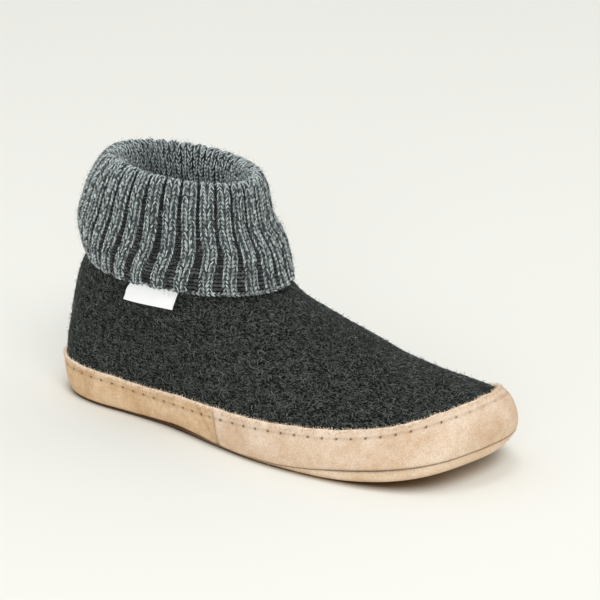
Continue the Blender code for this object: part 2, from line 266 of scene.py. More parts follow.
# %% Helpers that place points around the felt
def unit(vectors):
    """Scale vectors to length one."""
    return vectors / np.linalg.norm(vectors, axis=-1, keepdims=True)


def felt_out(level, turn):
    """Outward direction of the felt's face."""
    step = 0.01
    half_level = 0.5
    along = felt_face(level, turn + step) - felt_face(level, turn - step)
    above = np.clip(level + half_level, 0.0, TOP_LEVEL)
    below = np.clip(level - half_level, 0.0, TOP_LEVEL)
    return unit(np.cross(along, felt_face(above, turn) - felt_face(below, turn)))


def felt_offset(level, turn, distance):
    """Point at a distance outside the felt's face."""
    level, turn, distance = np.broadcast_arrays(level, turn, distance)
    return felt_face(level, turn) + distance[..., None] * felt_out(level, turn)


def level_at(height, turn):
    """Level whose ring passes a height above the underside, for each turn."""
    station = (1 - np.cos(turn)) / 2
    rows = ring["heel_height"][:, None] + np.outer(ring["front_height"] - ring["heel_height"], station)
    height = np.broadcast_to(height, turn.shape)
    return np.array([np.interp(height[i], rows[:, i], LEVELS) for i in range(len(turn))])


def turn_at(x, height):
    """Turn on the outer side where the felt's ring near a height passes each x."""
    level = np.interp(height, ring["heel_height"], LEVELS)
    heel_x = np.interp(level, LEVELS, ring["heel_x"])
    front_x = np.interp(level, LEVELS, ring["front_x"])
    return outline_turn((x - heel_x) / (front_x - heel_x))


def flat_ring(height, turn, distance):
    """Ring at one height above the underside and a distance outside the felt's face."""
    points = felt_offset(level_at(height, turn), turn, distance)
    points[:, 2] = height + lift(points[:, 0])
    return points


def edge_at(name, turn):
    """Value of an edge column at each turn."""
    x = HEEL_X + (TOE_X - HEEL_X) * (1 - np.cos(turn)) / 2
    return smooth(x, edge["x"], edge[name])


print("rand top at the toe:", edge_at("rand_top", np.array([np.pi])).round(1), "mm")

# %% Lumps, ramps and fades for small relief and for marks
def lumps(points, size):
    """Smooth random heights from -1 to 1, in bumps about size millimetres apart."""
    flat = [noise.noise(Vector(point) / size) for point in points.reshape(-1, 3)]
    return np.array(flat).reshape(points.shape[:-1])


def lump_sum(points, heights):
    """Add lumps of several sizes, given as heights by size, all in millimetres."""
    return sum(height * lumps(points, size) for size, height in heights.items())


def ramp(value, start, run):
    """Rise evenly from 0 to 1, over a run from a start."""
    return np.clip((value - start) / run, 0.0, 1.0)


def fade(distance, width):
    """A soft bump: 1 at no distance, and next to nothing two widths away."""
    return np.exp(-((distance / width) ** 2))


print("a bump two widths away is", fade(2.0, 1.0).round(3))

# %% [markdown]
# ## Meshes from grids of points
# Every main piece is a grid of points, row by row, so a few helpers make them all: one lists the four
# corners of each face, one closes the ends of a strip, and one builds the object in metres with smooth
# shading. Normals are recalculated on the closed mesh, so that they all point outwards.

# %% Helpers that turn grids into pieces
def grid_faces(rows, columns, close_rows, close_columns):
    """Corners of the quads of a grid of points, wrapped round where asked."""
    row, column = np.meshgrid(
        np.arange(rows if close_rows else rows - 1),
        np.arange(columns if close_columns else columns - 1),
        indexing="ij",
    )
    next_row = (row + 1) % rows
    next_column = (column + 1) % columns
    corners = (
        row * columns + column,
        row * columns + next_column,
        next_row * columns + next_column,
        next_row * columns + column,
    )
    return np.stack([corner.ravel() for corner in corners], axis=1).tolist()


def strip_faces(rows, columns):
    """Faces of a strip whose rows run round its section, with both its ends closed."""
    faces = grid_faces(rows, columns, True, False)
    for column in (0, columns - 1):
        faces.append([row * columns + column for row in range(rows)])
    return faces


def make_piece(name, points, faces, material):
    """Build one closed mesh from points in millimetres, smooth and facing outwards."""
    mesh = bpy.data.meshes.new(name)
    mesh.from_pydata(((points.reshape(-1, 3) - ORIGIN) * MM).tolist(), [], faces)
    shape = bmesh.new()
    shape.from_mesh(mesh)
    bmesh.ops.recalc_face_normals(shape, faces=shape.faces)
    shape.to_mesh(mesh)
    shape.free()
    mesh.polygons.foreach_set("use_smooth", np.ones(len(mesh.polygons), dtype=bool))
    mesh.materials.append(material)
    piece = bpy.data.objects.new(name, mesh)
    bpy.context.scene.collection.objects.link(piece)
    print(name, "has", sum(len(face) - 2 for face in faces), "triangles")
    return piece


def give_attribute(piece, name, values):
    """Store one number per point of a piece for its material to read."""
    attribute = piece.data.attributes.new(name, "FLOAT", "POINT")
    attribute.data.foreach_set("value", np.asarray(values, dtype=np.float32).ravel())


def dress(piece, slot, *nodes):
    """Let a piece ride on the boot and stand for CAD nodes, which it hides; the slot is not used."""
    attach(piece, "root")
    if nodes:
        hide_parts(*nodes)


print("a grid of 3 by 3 points has", len(grid_faces(3, 3, False, False)), "faces")

# %% [markdown]
# ## Colours and shader nodes
# Colours are read off as sRGB hex values, the way a colour picker shows them, and Blender's shaders want
# linear light, so one function converts them. A second function adds any shader or geometry node with its
# settings. Each of its sockets takes a value or the output of another node, which keeps every material
# readable as a short list of nodes.

# %% One function for colours and one for nodes
def linear(hex_colour):
    """Turn an sRGB hex value into linear red, green, blue and alpha."""
    values = [int(hex_colour[place : place + 2], 16) / 255 for place in (1, 3, 5)]
    light = [one / 12.92 if one <= 0.04045 else ((one + 0.055) / 1.055) ** 2.4 for one in values]
    return light + [1.0]


def add_node(tree, kind, sockets=None, **settings):
    """Add one node with its settings; each socket takes a value or another node's output."""
    node = tree.nodes.new(kind)
    for name, value in settings.items():
        setattr(node, name, value)
    for socket, value in (sockets or {}).items():
        if isinstance(value, bpy.types.NodeSocket):
            tree.links.new(value, node.inputs[socket])
        else:
            node.inputs[socket].default_value = value
    return node


def start_material(name, roughness, sheen, sheen_roughness):
    """Start a rough, slightly hairy material and return it with its tree, shader and coordinates."""
    material = bpy.data.materials.new(name)
    material.use_nodes = True
    tree = material.node_tree
    surface = tree.nodes["Principled BSDF"]
    surface.inputs["Roughness"].default_value = roughness
    surface.inputs["Specular IOR Level"].default_value = 0.25
    surface.inputs["Sheen Weight"].default_value = sheen
    surface.inputs["Sheen Roughness"].default_value = sheen_roughness
    coords = add_node(tree, "ShaderNodeTexCoord").outputs["Object"]
    return material, tree, surface, coords


def paint(tree, surface, colour, height, strength, depth):
    """Give a surface its colour, and a bump of a depth in metres from a height."""
    tree.links.new(colour, surface.inputs["Base Color"])
    bump = add_node(tree, "ShaderNodeBump", {"Height": height, "Strength": strength, "Distance": depth})
    tree.links.new(bump.outputs["Normal"], surface.inputs["Normal"])


print("mid grey in linear light:", round(linear("#808080")[0], 3))

# %% [markdown]
# ## Wool felt
# The shell is wet-felted wool in a charcoal melange: dark fibres with some pale ones, matted in every
# direction. The eye sees a matt dark ground, patches of slightly green and slightly purple grey a
# centimetre across, tufts of 3 mm and short pale strokes. Patches, tufts and the fine mat are noises of
# those sizes, and noises stretched in three directions give the strokes. Wool scatters light at its edge,
# so there is sheen. Real fibres are 0.03 mm thick, too fine to show, so the strokes are drawn about twenty
# times thicker.

# %% Strokes, tufts and fine mat of the felt
TUFT_SIZE = 0.0032
MAT_SIZE = 0.0008
STROKE_LENGTH = 0.0030
STROKE_WIDTH = 0.00060
STROKE_TURNS = ((0.3, 0.5, 0.7), (1.2, -0.4, 2.3), (-0.5, 1.0, 1.5))
TUFT_WEIGHT = 0.3
MAT_WEIGHT = 0.75


def matted_fibres(tree, coords):
    """Height of matted fibres: the highest of three crossed strokes, then tufts and a fine mat."""
    tuft = add_node(tree, "ShaderNodeTexNoise", {"Vector": coords, "Scale": 1 / TUFT_SIZE, "Detail": 2.0})
    mat = add_node(tree, "ShaderNodeTexNoise", {"Vector": coords, "Scale": 1 / MAT_SIZE, "Detail": 3.0})
    stretch = (1 / STROKE_LENGTH, 1 / STROKE_WIDTH, 1 / STROKE_WIDTH)
    height = 0.0
    for turn in STROKE_TURNS:
        stretched = add_node(
            tree,
            "ShaderNodeMapping",
            {"Vector": coords, "Rotation": turn, "Scale": stretch},
        )
        streak = add_node(
            tree,
            "ShaderNodeTexNoise",
            {"Vector": stretched.outputs["Vector"], "Scale": 1.0, "Detail": 1.0, "Distortion": 0.6},
        )
        crossed = add_node(
            tree,
            "ShaderNodeMath",
            {0: height, 1: streak.outputs["Fac"]},
            operation="MAXIMUM",
        )
        height = crossed.outputs[0]
    for texture, weight in ((tuft, TUFT_WEIGHT), (mat, MAT_WEIGHT)):
        added = add_node(
            tree,
            "ShaderNodeMath",
            {0: texture.outputs["Fac"], 1: weight, 2: height},
            operation="MULTIPLY_ADD",
        )
        height = added.outputs[0]
    return height


print("strokes:", STROKE_LENGTH / MM, "mm long")

# %% Wool felt material
PATCH_SIZE = 0.012
PALE_START = 1.04
PALE_FULL = 1.43


def felt_material(name, green_grey, purple_grey, pale, sheen):
    """Matt melange felt from two ground colours and the colour of its pale fibres."""
    material, tree, surface, coords = start_material(
        name, roughness=0.95, sheen=sheen, sheen_roughness=0.3
    )
    surface.inputs["Sheen Tint"].default_value = linear("#a9b3ac")
    surface.inputs["Specular IOR Level"].default_value = 0.08
    patch = add_node(tree, "ShaderNodeTexNoise", {"Vector": coords, "Scale": 1 / PATCH_SIZE, "Detail": 2.0})
    height = matted_fibres(tree, coords)
    shown = add_node(
        tree,
        "ShaderNodeMapRange",
        {"Value": height, "From Min": PALE_START, "From Max": PALE_FULL},
    )
    ground = add_node(
        tree,
        "ShaderNodeMix",
        {0: patch.outputs["Fac"], 6: linear(green_grey), 7: linear(purple_grey)},
        data_type="RGBA",
    )
    colour = add_node(
        tree,
        "ShaderNodeMix",
        {0: shown.outputs["Result"], 6: ground.outputs[2], 7: linear(pale)},
        data_type="RGBA",
    )
    paint(tree, surface, colour.outputs[2], height, strength=0.7, depth=0.0005)
    return material


wool_felt = felt_material("wool_felt_charcoal", "#080b0a", "#0a090b", "#5e635e", sheen=0.14)
print("felt:", wool_felt.name)

# %% [markdown]
# ## The felt shell
# The upper is one felted shell without seams, about 3 mm thick, open at the collar and underneath.
# It is drawn ring by ring on its outer face and again on its inner face, so the wall is real.
# Felt that has been worn a little is never a perfect surface: it gets broad soft lumps, shallow folds
# across the instep and the ball where the foot bends, and hollows at the ankle and heel. Those are listed
# in millimetres of the shoe, and the shell is pushed in there. A cloth simulation would only
# slacken a shell that is stiff enough to stand by itself, so the folds are drawn.

# %% Soft lumps and folds of the felt
# Each fold has a start, a middle and an end, then its depth and its width.
FOLDS = [
    ((116.0, -46.0, 50.0), (152.0, 2.0, 70.0), (116.0, 42.0, 50.0), 0.55, 6.0),
    ((176.0, -52.0, 22.0), (203.0, 4.0, 50.0), (178.0, 48.0, 22.0), 0.35, 8.0),
    ((14.0, -24.0, 46.0), (27.0, -33.0, 40.0), (44.0, -36.0, 33.0), 0.40, 5.0),
    ((60.0, -40.0, 44.0), (84.0, -40.0, 40.0), (108.0, -42.0, 42.0), 0.70, 11.0),
    ((60.0, 38.0, 44.0), (84.0, 37.0, 40.0), (108.0, 38.0, 42.0), 0.70, 11.0),
]
FOLD_POINTS = 24
FELT_LUMPS = {19.0: 0.32, 4.2: 0.08}


def felt_relief(points):
    """How far the felt stands out at each point: broad lumps, a fine unevenness and the folds."""
    out = lump_sum(points, FELT_LUMPS)
    share = np.linspace(0.0, 1.0, FOLD_POINTS)[:, None]
    for start, middle, end, depth, width in FOLDS:
        control = 2 * np.array(middle) - 0.5 * np.add(start, end)
        line = (1 - share) ** 2 * start + 2 * share * (1 - share) * control + share**2 * end
        away = np.linalg.norm(points[..., None, :] - line, axis=-1)
        out -= (depth * fade(away, width)).max(axis=-1)
    return out


print("felt folds:", len(FOLDS))

# %% Build the shell
FELT_LEVEL = 2.0
FELT_COLUMNS = 288
FELT_ROWS = 104
INNER_ROWS = 26
RAND_OVERLAP = 3.0
RELIEF_RUN = 1.5

turns = np.linspace(0.0, 2 * np.pi, FELT_COLUMNS, endpoint=False)
outer_levels = np.linspace(FELT_LEVEL, TOP_LEVEL, FELT_ROWS)[:, None]
inner_levels = np.linspace(TOP_LEVEL, FELT_LEVEL, INNER_ROWS)[:, None]
outer_face = felt_face(outer_levels, turns)
relief_start = level_at(edge_at("rand_top", turns) - RAND_OVERLAP, turns)
relief = ramp(outer_levels, relief_start, RELIEF_RUN) * felt_relief(outer_face)
outer_face = outer_face + relief[..., None] * felt_out(outer_levels, turns)
inner_face = felt_offset(inner_levels, turns, -FELT)
inner_face[0, :, 2] = outer_face[-1, :, 2]
inner_face[-1, :, 2] = outer_face[0, :, 2]
shell_points = np.concatenate([outer_face, inner_face])
shell_faces = grid_faces(FELT_ROWS + INNER_ROWS, FELT_COLUMNS, True, True)
felt_shell = make_piece("felt_shell", shell_points, shell_faces, wool_felt)
dress(felt_shell, "felt", "upper")

# %% [markdown]
# ## Growing things with Geometry Nodes
# Fibres, knit stitches and sewing threads repeat by the thousand, and each follows a surface. A node tree
# places one small shape many times and is changed by its named inputs, which no hand could do.
# The helpers are shared: two start and end a tree, one makes the ground mesh that a tree grows on, and
# one runs a tree there and keeps the result as a plain mesh, because instances don't survive the export.

# %% Start a tree, end one, and run one
def start_tree(name, inputs):
    """Make a geometry tree with named inputs, and return it with its input node's outputs."""
    tree = bpy.data.node_groups.new(name, "GeometryNodeTree")
    tree.interface.new_socket("Geometry", in_out="INPUT", socket_type="NodeSocketGeometry")
    for title, kind in inputs.items():
        tree.interface.new_socket(title, in_out="INPUT", socket_type=kind)
    tree.interface.new_socket("Geometry", in_out="OUTPUT", socket_type="NodeSocketGeometry")
    return tree, tree.nodes.new("NodeGroupInput").outputs


def end_tree(tree, instances, material):
    """Make instances real, give them their material and close the tree."""
    real = add_node(tree, "GeometryNodeRealizeInstances", {"Geometry": instances})
    painted = add_node(
        tree,
        "GeometryNodeSetMaterial",
        {"Geometry": real.outputs[0], "Material": material},
    )
    add_node(tree, "NodeGroupOutput", {0: painted.outputs[0]})


def make_ground(name, points, faces, attributes):
    """Make the mesh that a tree grows on, with named numbers or vectors for each point."""
    mesh = bpy.data.meshes.new(name)
    mesh.from_pydata(((points.reshape(-1, 3) - ORIGIN) * MM).tolist(), [], faces)
    for title, values in attributes.items():
        kind, field = ("FLOAT", "value") if np.ndim(values) == 1 else ("FLOAT_VECTOR", "vector")
        attribute = mesh.attributes.new(title, kind, "POINT")
        attribute.data.foreach_set(field, np.asarray(values, dtype=np.float32).ravel())
    ground = bpy.data.objects.new(name, mesh)
    bpy.context.scene.collection.objects.link(ground)
    return ground


def grow(name, ground, tree, sizes):
    """Run a tree on a ground mesh, keep its result as a plain mesh and remove the ground."""
    modifier = ground.modifiers.new(name, "NODES")
    modifier.node_group = tree
    for item in tree.interface.items_tree:
        if item.in_out == "INPUT" and item.name in sizes:
            modifier[item.identifier] = sizes[item.name]
    graph = bpy.context.evaluated_depsgraph_get()
    mesh = bpy.data.meshes.new_from_object(ground.evaluated_get(graph))
    mesh.name = name
    ground.modifiers.clear()
    bpy.data.objects.remove(ground)
    piece = bpy.data.objects.new(name, mesh)
    bpy.context.scene.collection.objects.link(piece)
    mesh.calc_loop_triangles()
    print(name, "has", len(mesh.loop_triangles), "triangles")
    return piece

# %% [markdown]
# ## Loose wool fibres
# On the real felt, pale fibres lie on the surface in every direction and a few stand up, which blurs the
# outline. Hair particles would do it too, but they don't export, so each fibre is a three-sided bent
# tube. The tree scatters points over the felt, turns each fibre at random about the felt's outward
# direction, tilts it a little or a lot, and stores a random tone that its material turns into a grey.
# The tubes are about six times thicker than wool, so that they show at this size. None grow at the label,
# where they would poke through the tape.

# %% The fibre tree: scatter points and shape one fibre
FIBRE_INPUTS = {
    "Fibres per square metre": "NodeSocketFloat",
    "Fibre length": "NodeSocketFloat",
    "Slenderness": "NodeSocketFloat",
    "Least tilt": "NodeSocketFloat",
    "Most tilt": "NodeSocketFloat",
    "Seed": "NodeSocketInt",
    "Material": "NodeSocketMaterial",
}
FIBRE_BEND = {"Start": (0.0, 0.0, -0.02), "Middle": (0.5, 0.35, 0.12), "End": (1.0, 0.0, 0.0)}

fibre_tree, fibre_in = start_tree("loose_fibres", FIBRE_INPUTS)
scatter = add_node(
    fibre_tree,
    "GeometryNodeDistributePointsOnFaces",
    {
        "Mesh": fibre_in["Geometry"],
        "Density": fibre_in["Fibres per square metre"],
        "Seed": fibre_in["Seed"],
    },
)
bent_line = add_node(fibre_tree, "GeometryNodeCurveQuadraticBezier", {"Resolution": 2, **FIBRE_BEND})
three_sides = add_node(
    fibre_tree,
    "GeometryNodeCurvePrimitiveCircle",
    {"Resolution": 3, "Radius": fibre_in["Slenderness"]},
)
fibre = add_node(
    fibre_tree,
    "GeometryNodeCurveToMesh",
    {"Curve": bent_line.outputs["Curve"], "Profile Curve": three_sides.outputs["Curve"], "Fill Caps": True},
)
print("fibre inputs:", list(FIBRE_INPUTS))

# %% Turn each fibre at random about the outward direction and tilt it
SIDE_TILT = 0.2
FULL_TURN = 6.283
low_turn = add_node(
    fibre_tree,
    "ShaderNodeCombineXYZ",
    {"X": -SIDE_TILT, "Y": fibre_in["Most tilt"], "Z": 0.0},
)
high_turn = add_node(
    fibre_tree,
    "ShaderNodeCombineXYZ",
    {"X": SIDE_TILT, "Y": fibre_in["Least tilt"], "Z": FULL_TURN},
)
random_turn = add_node(
    fibre_tree,
    "FunctionNodeRandomValue",
    {0: low_turn.outputs[0], 1: high_turn.outputs[0], "Seed": 1},
    data_type="FLOAT_VECTOR",
)
turned = add_node(
    fibre_tree,
    "FunctionNodeRotateRotation",
    {"Rotation": scatter.outputs["Rotation"], "Rotate By": random_turn.outputs[0]},
    rotation_space="LOCAL",
)
print("tilt to the sides: up to", SIDE_TILT, "radians")

# %% Stretch each fibre, give it a tone and end the tree
SHORTEST_SHARE = 0.45
random_length = add_node(
    fibre_tree,
    "FunctionNodeRandomValue",
    {2: SHORTEST_SHARE, 3: 1.0, "Seed": 2},
    data_type="FLOAT",
)
length = add_node(
    fibre_tree,
    "ShaderNodeMath",
    {0: random_length.outputs[1], 1: fibre_in["Fibre length"]},
    operation="MULTIPLY",
)
fibres = add_node(
    fibre_tree,
    "GeometryNodeInstanceOnPoints",
    {
        "Points": scatter.outputs["Points"],
        "Instance": fibre.outputs["Mesh"],
        "Rotation": turned.outputs[0],
        "Scale": length.outputs[0],
    },
)
random_tone = add_node(
    fibre_tree,
    "FunctionNodeRandomValue",
    {2: 0.0, 3: 1.0, "Seed": 3},
    data_type="FLOAT",
)
toned = add_node(
    fibre_tree,
    "GeometryNodeStoreNamedAttribute",
    {"Geometry": fibres.outputs["Instances"], "Name": "tone", "Value": random_tone.outputs[1]},
    data_type="FLOAT",
    domain="INSTANCE",
)
end_tree(fibre_tree, toned.outputs["Geometry"], fibre_in["Material"])
print("fibre tree:", len(fibre_tree.nodes), "nodes")

# %% Wool fibre material: a soft grey from each fibre's own tone
def toned_material(name, dark, pale, sheen, rarity):
    """A hairy material from dark to pale by each fibre's tone; a high rarity keeps pale ones few."""
    material, tree, surface, coords = start_material(
        name, roughness=0.85, sheen=sheen, sheen_roughness=0.5
    )
    stored = add_node(tree, "ShaderNodeAttribute", attribute_name="tone")
    tone = add_node(tree, "ShaderNodeMath", {0: stored.outputs["Fac"], 1: rarity}, operation="POWER")
    colour = add_node(
        tree,
        "ShaderNodeMix",
        {0: tone.outputs[0], 6: linear(dark), 7: linear(pale)},
        data_type="RGBA",
    )
    tree.links.new(colour.outputs[2], surface.inputs["Base Color"])
    return material, tree, surface, coords, colour


wool_fibre = toned_material("wool_fibre_grey", "#1a1e1d", "#8d938f", sheen=0.1, rarity=2.0)[0]
print("fibre material:", wool_fibre.name)

# %% Grow the fibres on the part of the felt that shows
HEM_LEVEL = 14.6
LABEL_MARGIN = 3.5
LYING = {
    "Fibres per square metre": 270000.0,
    "Fibre length": 0.0031,
    "Slenderness": 0.031,
    "Least tilt": 0.06,
    "Most tilt": -0.12,
    "Seed": 7,
    "Material": wool_fibre,
}
STANDING = {
    "Fibres per square metre": 90000.0,
    "Fibre length": 0.0026,
    "Slenderness": 0.031,
    "Least tilt": -0.2,
    "Most tilt": -0.9,
    "Seed": 19,
    "Material": wool_fibre,
}


def grow_fibres(name, slot, points, faces, sizes):
    """Grow fibres on some faces of a surface and let them ride on the boot."""
    ground = make_ground(name + "_ground", points, faces, {})
    dress(grow(name, ground, fibre_tree, sizes), slot)


low_levels = outer_levels[:-1]
felt_x, felt_y, felt_z = np.moveaxis(outer_face[:-1], -1, 0)
bare = (low_levels > level_at(edge_at("rand_top", turns), turns)) & (low_levels < HEM_LEVEL)
at_label = (felt_x > label["start_x"].min() - LABEL_MARGIN) & (felt_y < 0.0)
at_label &= felt_x < label["end_x"].max() + LABEL_MARGIN
at_label &= felt_z > label["height"].min() - LABEL_MARGIN
bare_faces = np.array(grid_faces(FELT_ROWS, FELT_COLUMNS, False, True))
bare_faces = bare_faces[(bare & ~at_label).ravel()].tolist()
grow_fibres("felt_fibres_lying", "felt", outer_face, bare_faces, LYING)
grow_fibres("felt_fibres_standing", "felt", outer_face, bare_faces, STANDING)

# %% [markdown]
# ## Suede
# The rand and the sole are split suede: the nap side of the hide, brushed, undyed tan. It is quite matt,
# mottled in patches of a centimetre or two, with a fine short nap that shines a little in the colour of the
# hide. Patches, clouds of 4.5 mm and nap are noises. Each piece carries numbers that say where it is
# soiled or darkened with painted shade, where its needle holes are painted dark as shade and where it is
# rubbed pale, so the marks follow the piece and not the picture. The nap of 0.3 mm is drawn about twice as
# coarse.

# %% Marks that a piece of suede can carry
RUBBED = "#f6e6d2"
# The dark brown of the needle holes is painted shade.
HOLE_SHADE = "#2c1400"


def add_marks(tree, colour, soil_and_shade_colour):
    """Cover a colour with soil and painted shade, rubbed nap and needle-hole shade, where a piece stores
    them.
    """
    for mark, mark_colour in (("soil_and_shade", soil_and_shade_colour), ("rub", RUBBED), ("hole", HOLE_SHADE)):
        stored = add_node(tree, "ShaderNodeAttribute", attribute_name=mark)
        marked = add_node(
            tree,
            "ShaderNodeMix",
            {0: stored.outputs["Fac"], 6: colour, 7: linear(mark_colour)},
            data_type="RGBA",
        )
        colour = marked.outputs[2]
    return colour


print("rubbed nap:", RUBBED, "needle holes:", HOLE_SHADE)

# %% Suede material
SUEDE_PATCH = 0.016
SUEDE_CLOUD = 0.0045
NAP_SIZE = 0.0007
CLOUD_WEIGHT = 0.5
TAN_START = 0.53
TAN_FULL = 0.97


def suede_material(name, pale, tan, soil_and_shade_colour):
    """Brushed split suede, mottled between two tans, with marks stored on the piece."""
    material, tree, surface, coords = start_material(
        name, roughness=0.92, sheen=0.25, sheen_roughness=0.6
    )
    surface.inputs["Sheen Tint"].default_value = linear("#e3a76c")
    patch = add_node(
        tree,
        "ShaderNodeTexNoise",
        {"Vector": coords, "Scale": 1 / SUEDE_PATCH, "Detail": 3.0},
    )
    cloud = add_node(
        tree,
        "ShaderNodeTexNoise",
        {"Vector": coords, "Scale": 1 / SUEDE_CLOUD, "Detail": 4.0},
    )
    nap = add_node(tree, "ShaderNodeTexNoise", {"Vector": coords, "Scale": 1 / NAP_SIZE, "Detail": 2.0})
    mottle = add_node(
        tree,
        "ShaderNodeMath",
        {0: cloud.outputs["Fac"], 1: CLOUD_WEIGHT, 2: patch.outputs["Fac"]},
        operation="MULTIPLY_ADD",
    )
    share = add_node(
        tree,
        "ShaderNodeMapRange",
        {"Value": mottle.outputs[0], "From Min": TAN_START, "From Max": TAN_FULL},
    )
    mottled = add_node(
        tree,
        "ShaderNodeMix",
        {0: share.outputs["Result"], 6: linear(pale), 7: linear(tan)},
        data_type="RGBA",
    )
    speck = add_node(
        tree,
        "ShaderNodeMapRange",
        {"Value": nap.outputs["Fac"], "From Min": 0.3, "From Max": 0.7, "To Min": 0.78, "To Max": 1.09},
    )
    napped = add_node(
        tree,
        "ShaderNodeVectorMath",
        {0: mottled.outputs[2], "Scale": speck.outputs["Result"]},
        operation="SCALE",
    )
    colour = add_marks(tree, napped.outputs[0], soil_and_shade_colour)
    grain = add_node(
        tree,
        "ShaderNodeMath",
        {0: cloud.outputs["Fac"], 1: CLOUD_WEIGHT, 2: nap.outputs["Fac"]},
        operation="MULTIPLY_ADD",
    )
    paint(tree, surface, colour, grain.outputs[0], strength=0.5, depth=0.0004)
    return material


# Third colour: dirt at seam ends and flecks, and painted shade at the rand's lower edge, channel and
# crease.
heel_suede = suede_material("split_suede_tan", "#ddc3a2", "#c09c74", "#4a2d16")
front_suede = suede_material("split_suede_pale_tan", "#e0cdb8", "#cbae91", "#4a2d16")
# The sole's third colour is painted shade only: its dark edge at the waist and heel and under the rand.
sole_suede = suede_material("split_suede_sole", "#f0dec8", "#dbc09f", "#2b1602")
print("suedes:", heel_suede.name, front_suede.name, sole_suede.name)

# %% [markdown]
# ## The rand
# The rand is a suede strip sewn round the bottom of the felt in two lengths, one round the heel and one
# round the forefoot, butted at a slanted seam on each side. A line of stitches runs 3.6 mm under its upper
# edge. The thread pulls the suede in, so there is a shallow channel with a dimple at every needle hole, and
# the cut upper edge is a little wavy. All this is small relief on a strip that follows the felt, so the
# strip is drawn row by row across its section, and the relief is added to its outer rows.

# %% The rand's stitch line and its two edges
STITCH_DROP = 3.6
FINE_STEPS = 2000
HEEL_DROP = 0.1
HEEL_DROP_END = 95.0
HEEL_DROP_RUN = 45.0
WAIST_RAISE = 1.5
WAIST_MIDDLE = 108.0
WAIST_WIDTH = 34.0
EDGE_WAVE = 0.35
EDGE_WAVE_SIZE = 7.0
EDGE_WAVE_DRIFT = 0.3


def stitch_line(strip_turns):
    """Stitch line of a strip, level by level, and the distance walked along it."""
    level = level_at(edge_at("rand_top", strip_turns) - STITCH_DROP, strip_turns)
    path = felt_offset(level, strip_turns, GAP + SUEDE)
    steps = np.linalg.norm(np.diff(path, axis=0), axis=1)
    return level, np.concatenate([[0.0], np.cumsum(steps)])


def even_turns(start, end, columns):
    """Turns that share the stitch line from start to end into even steps."""
    fine_turns = np.linspace(start, end, FINE_STEPS)
    walked = stitch_line(fine_turns)[1]
    return np.interp(np.linspace(0.0, walked[-1], columns), walked, fine_turns)


def rand_edges(strip_turns, distance):
    """Levels of a strip's lower edge and of its wavy upper edge."""
    from_heel = flat_ring(0.0, strip_turns, 0.0)[:, 0] - HEEL_X
    drop = HEEL_DROP * ramp(HEEL_DROP_END - from_heel, 0.0, HEEL_DROP_RUN)
    low = edge_at("outsole_edge", strip_turns) + GAP - drop
    wave_path = np.stack([distance, EDGE_WAVE_DRIFT * distance, 0.0 * distance], axis=-1)
    high = edge_at("rand_top", strip_turns) + EDGE_WAVE * lumps(wave_path, EDGE_WAVE_SIZE)
    high = high + WAIST_RAISE * fade(from_heel - WAIST_MIDDLE, WAIST_WIDTH)
    return level_at(low, strip_turns), level_at(high, strip_turns)


print("stitch line at the heel back: level", stitch_line(np.array([0.0, 0.1]))[0].round(2)[0])

# %% How the thread and the seam press into the suede
CHANNEL_WIDTH = 0.9
HOLE_WIDTH = 0.55
HOLE_FADE_START = 0.15
HOLE_FADE_RUN = 0.35
HOLES_AT_TOE = 0.2
CREASE_REACH = 15.0
CREASE_WIDTH = 1.8


def pressed_in(strip_turns, distance, climbed, from_line, from_hole, creased_end):
    """How much of a needle hole, of the thread's channel and of the seam's crease is at each point."""
    hole = fade(from_line, HOLE_WIDTH) * fade(from_hole, HOLE_WIDTH)
    from_toe = np.abs(strip_turns - np.pi)
    hole = hole * np.clip((from_toe - HOLE_FADE_START) / HOLE_FADE_RUN, HOLES_AT_TOE, 1.0)
    channel = fade(from_line, CHANNEL_WIDTH)
    crease = np.zeros_like(from_line)
    if creased_end:
        crease_place = distance[-1] - CREASE_REACH * climbed / climbed[-1]
        crease = fade(distance - crease_place, CREASE_WIDTH)
    return hole, channel, crease


print("of the channel", fade(1.0, CHANNEL_WIDTH).round(2), "is left 1 mm beside the thread")

# %% Marks of wear and painted shade on the rand
# Painted shade darkens the lower edge, channel, crease and holes; seam ends and flecks are dirt.
BOTTOM_SHADE = 0.9
BOTTOM_SHADE_WIDTH = 0.7
END_SOIL = 0.2
END_WIDTH = 1.2
CHANNEL_SHADE = 0.2
CREASE_SHADE = 0.18
FLECK_SOIL = 0.9
FLECK_REACH = 3.2
FLECK_RUN = 1.2
FLECK_SIZE = 1.1
FLECK_RARITY = 0.12
HOLE_SHADE_STRENGTH = 1.3
RUB_REACH = 1.5
RUB_MEAN = 0.6
RUB_CHANGE = 0.8
RUB_SIZE = 1.4


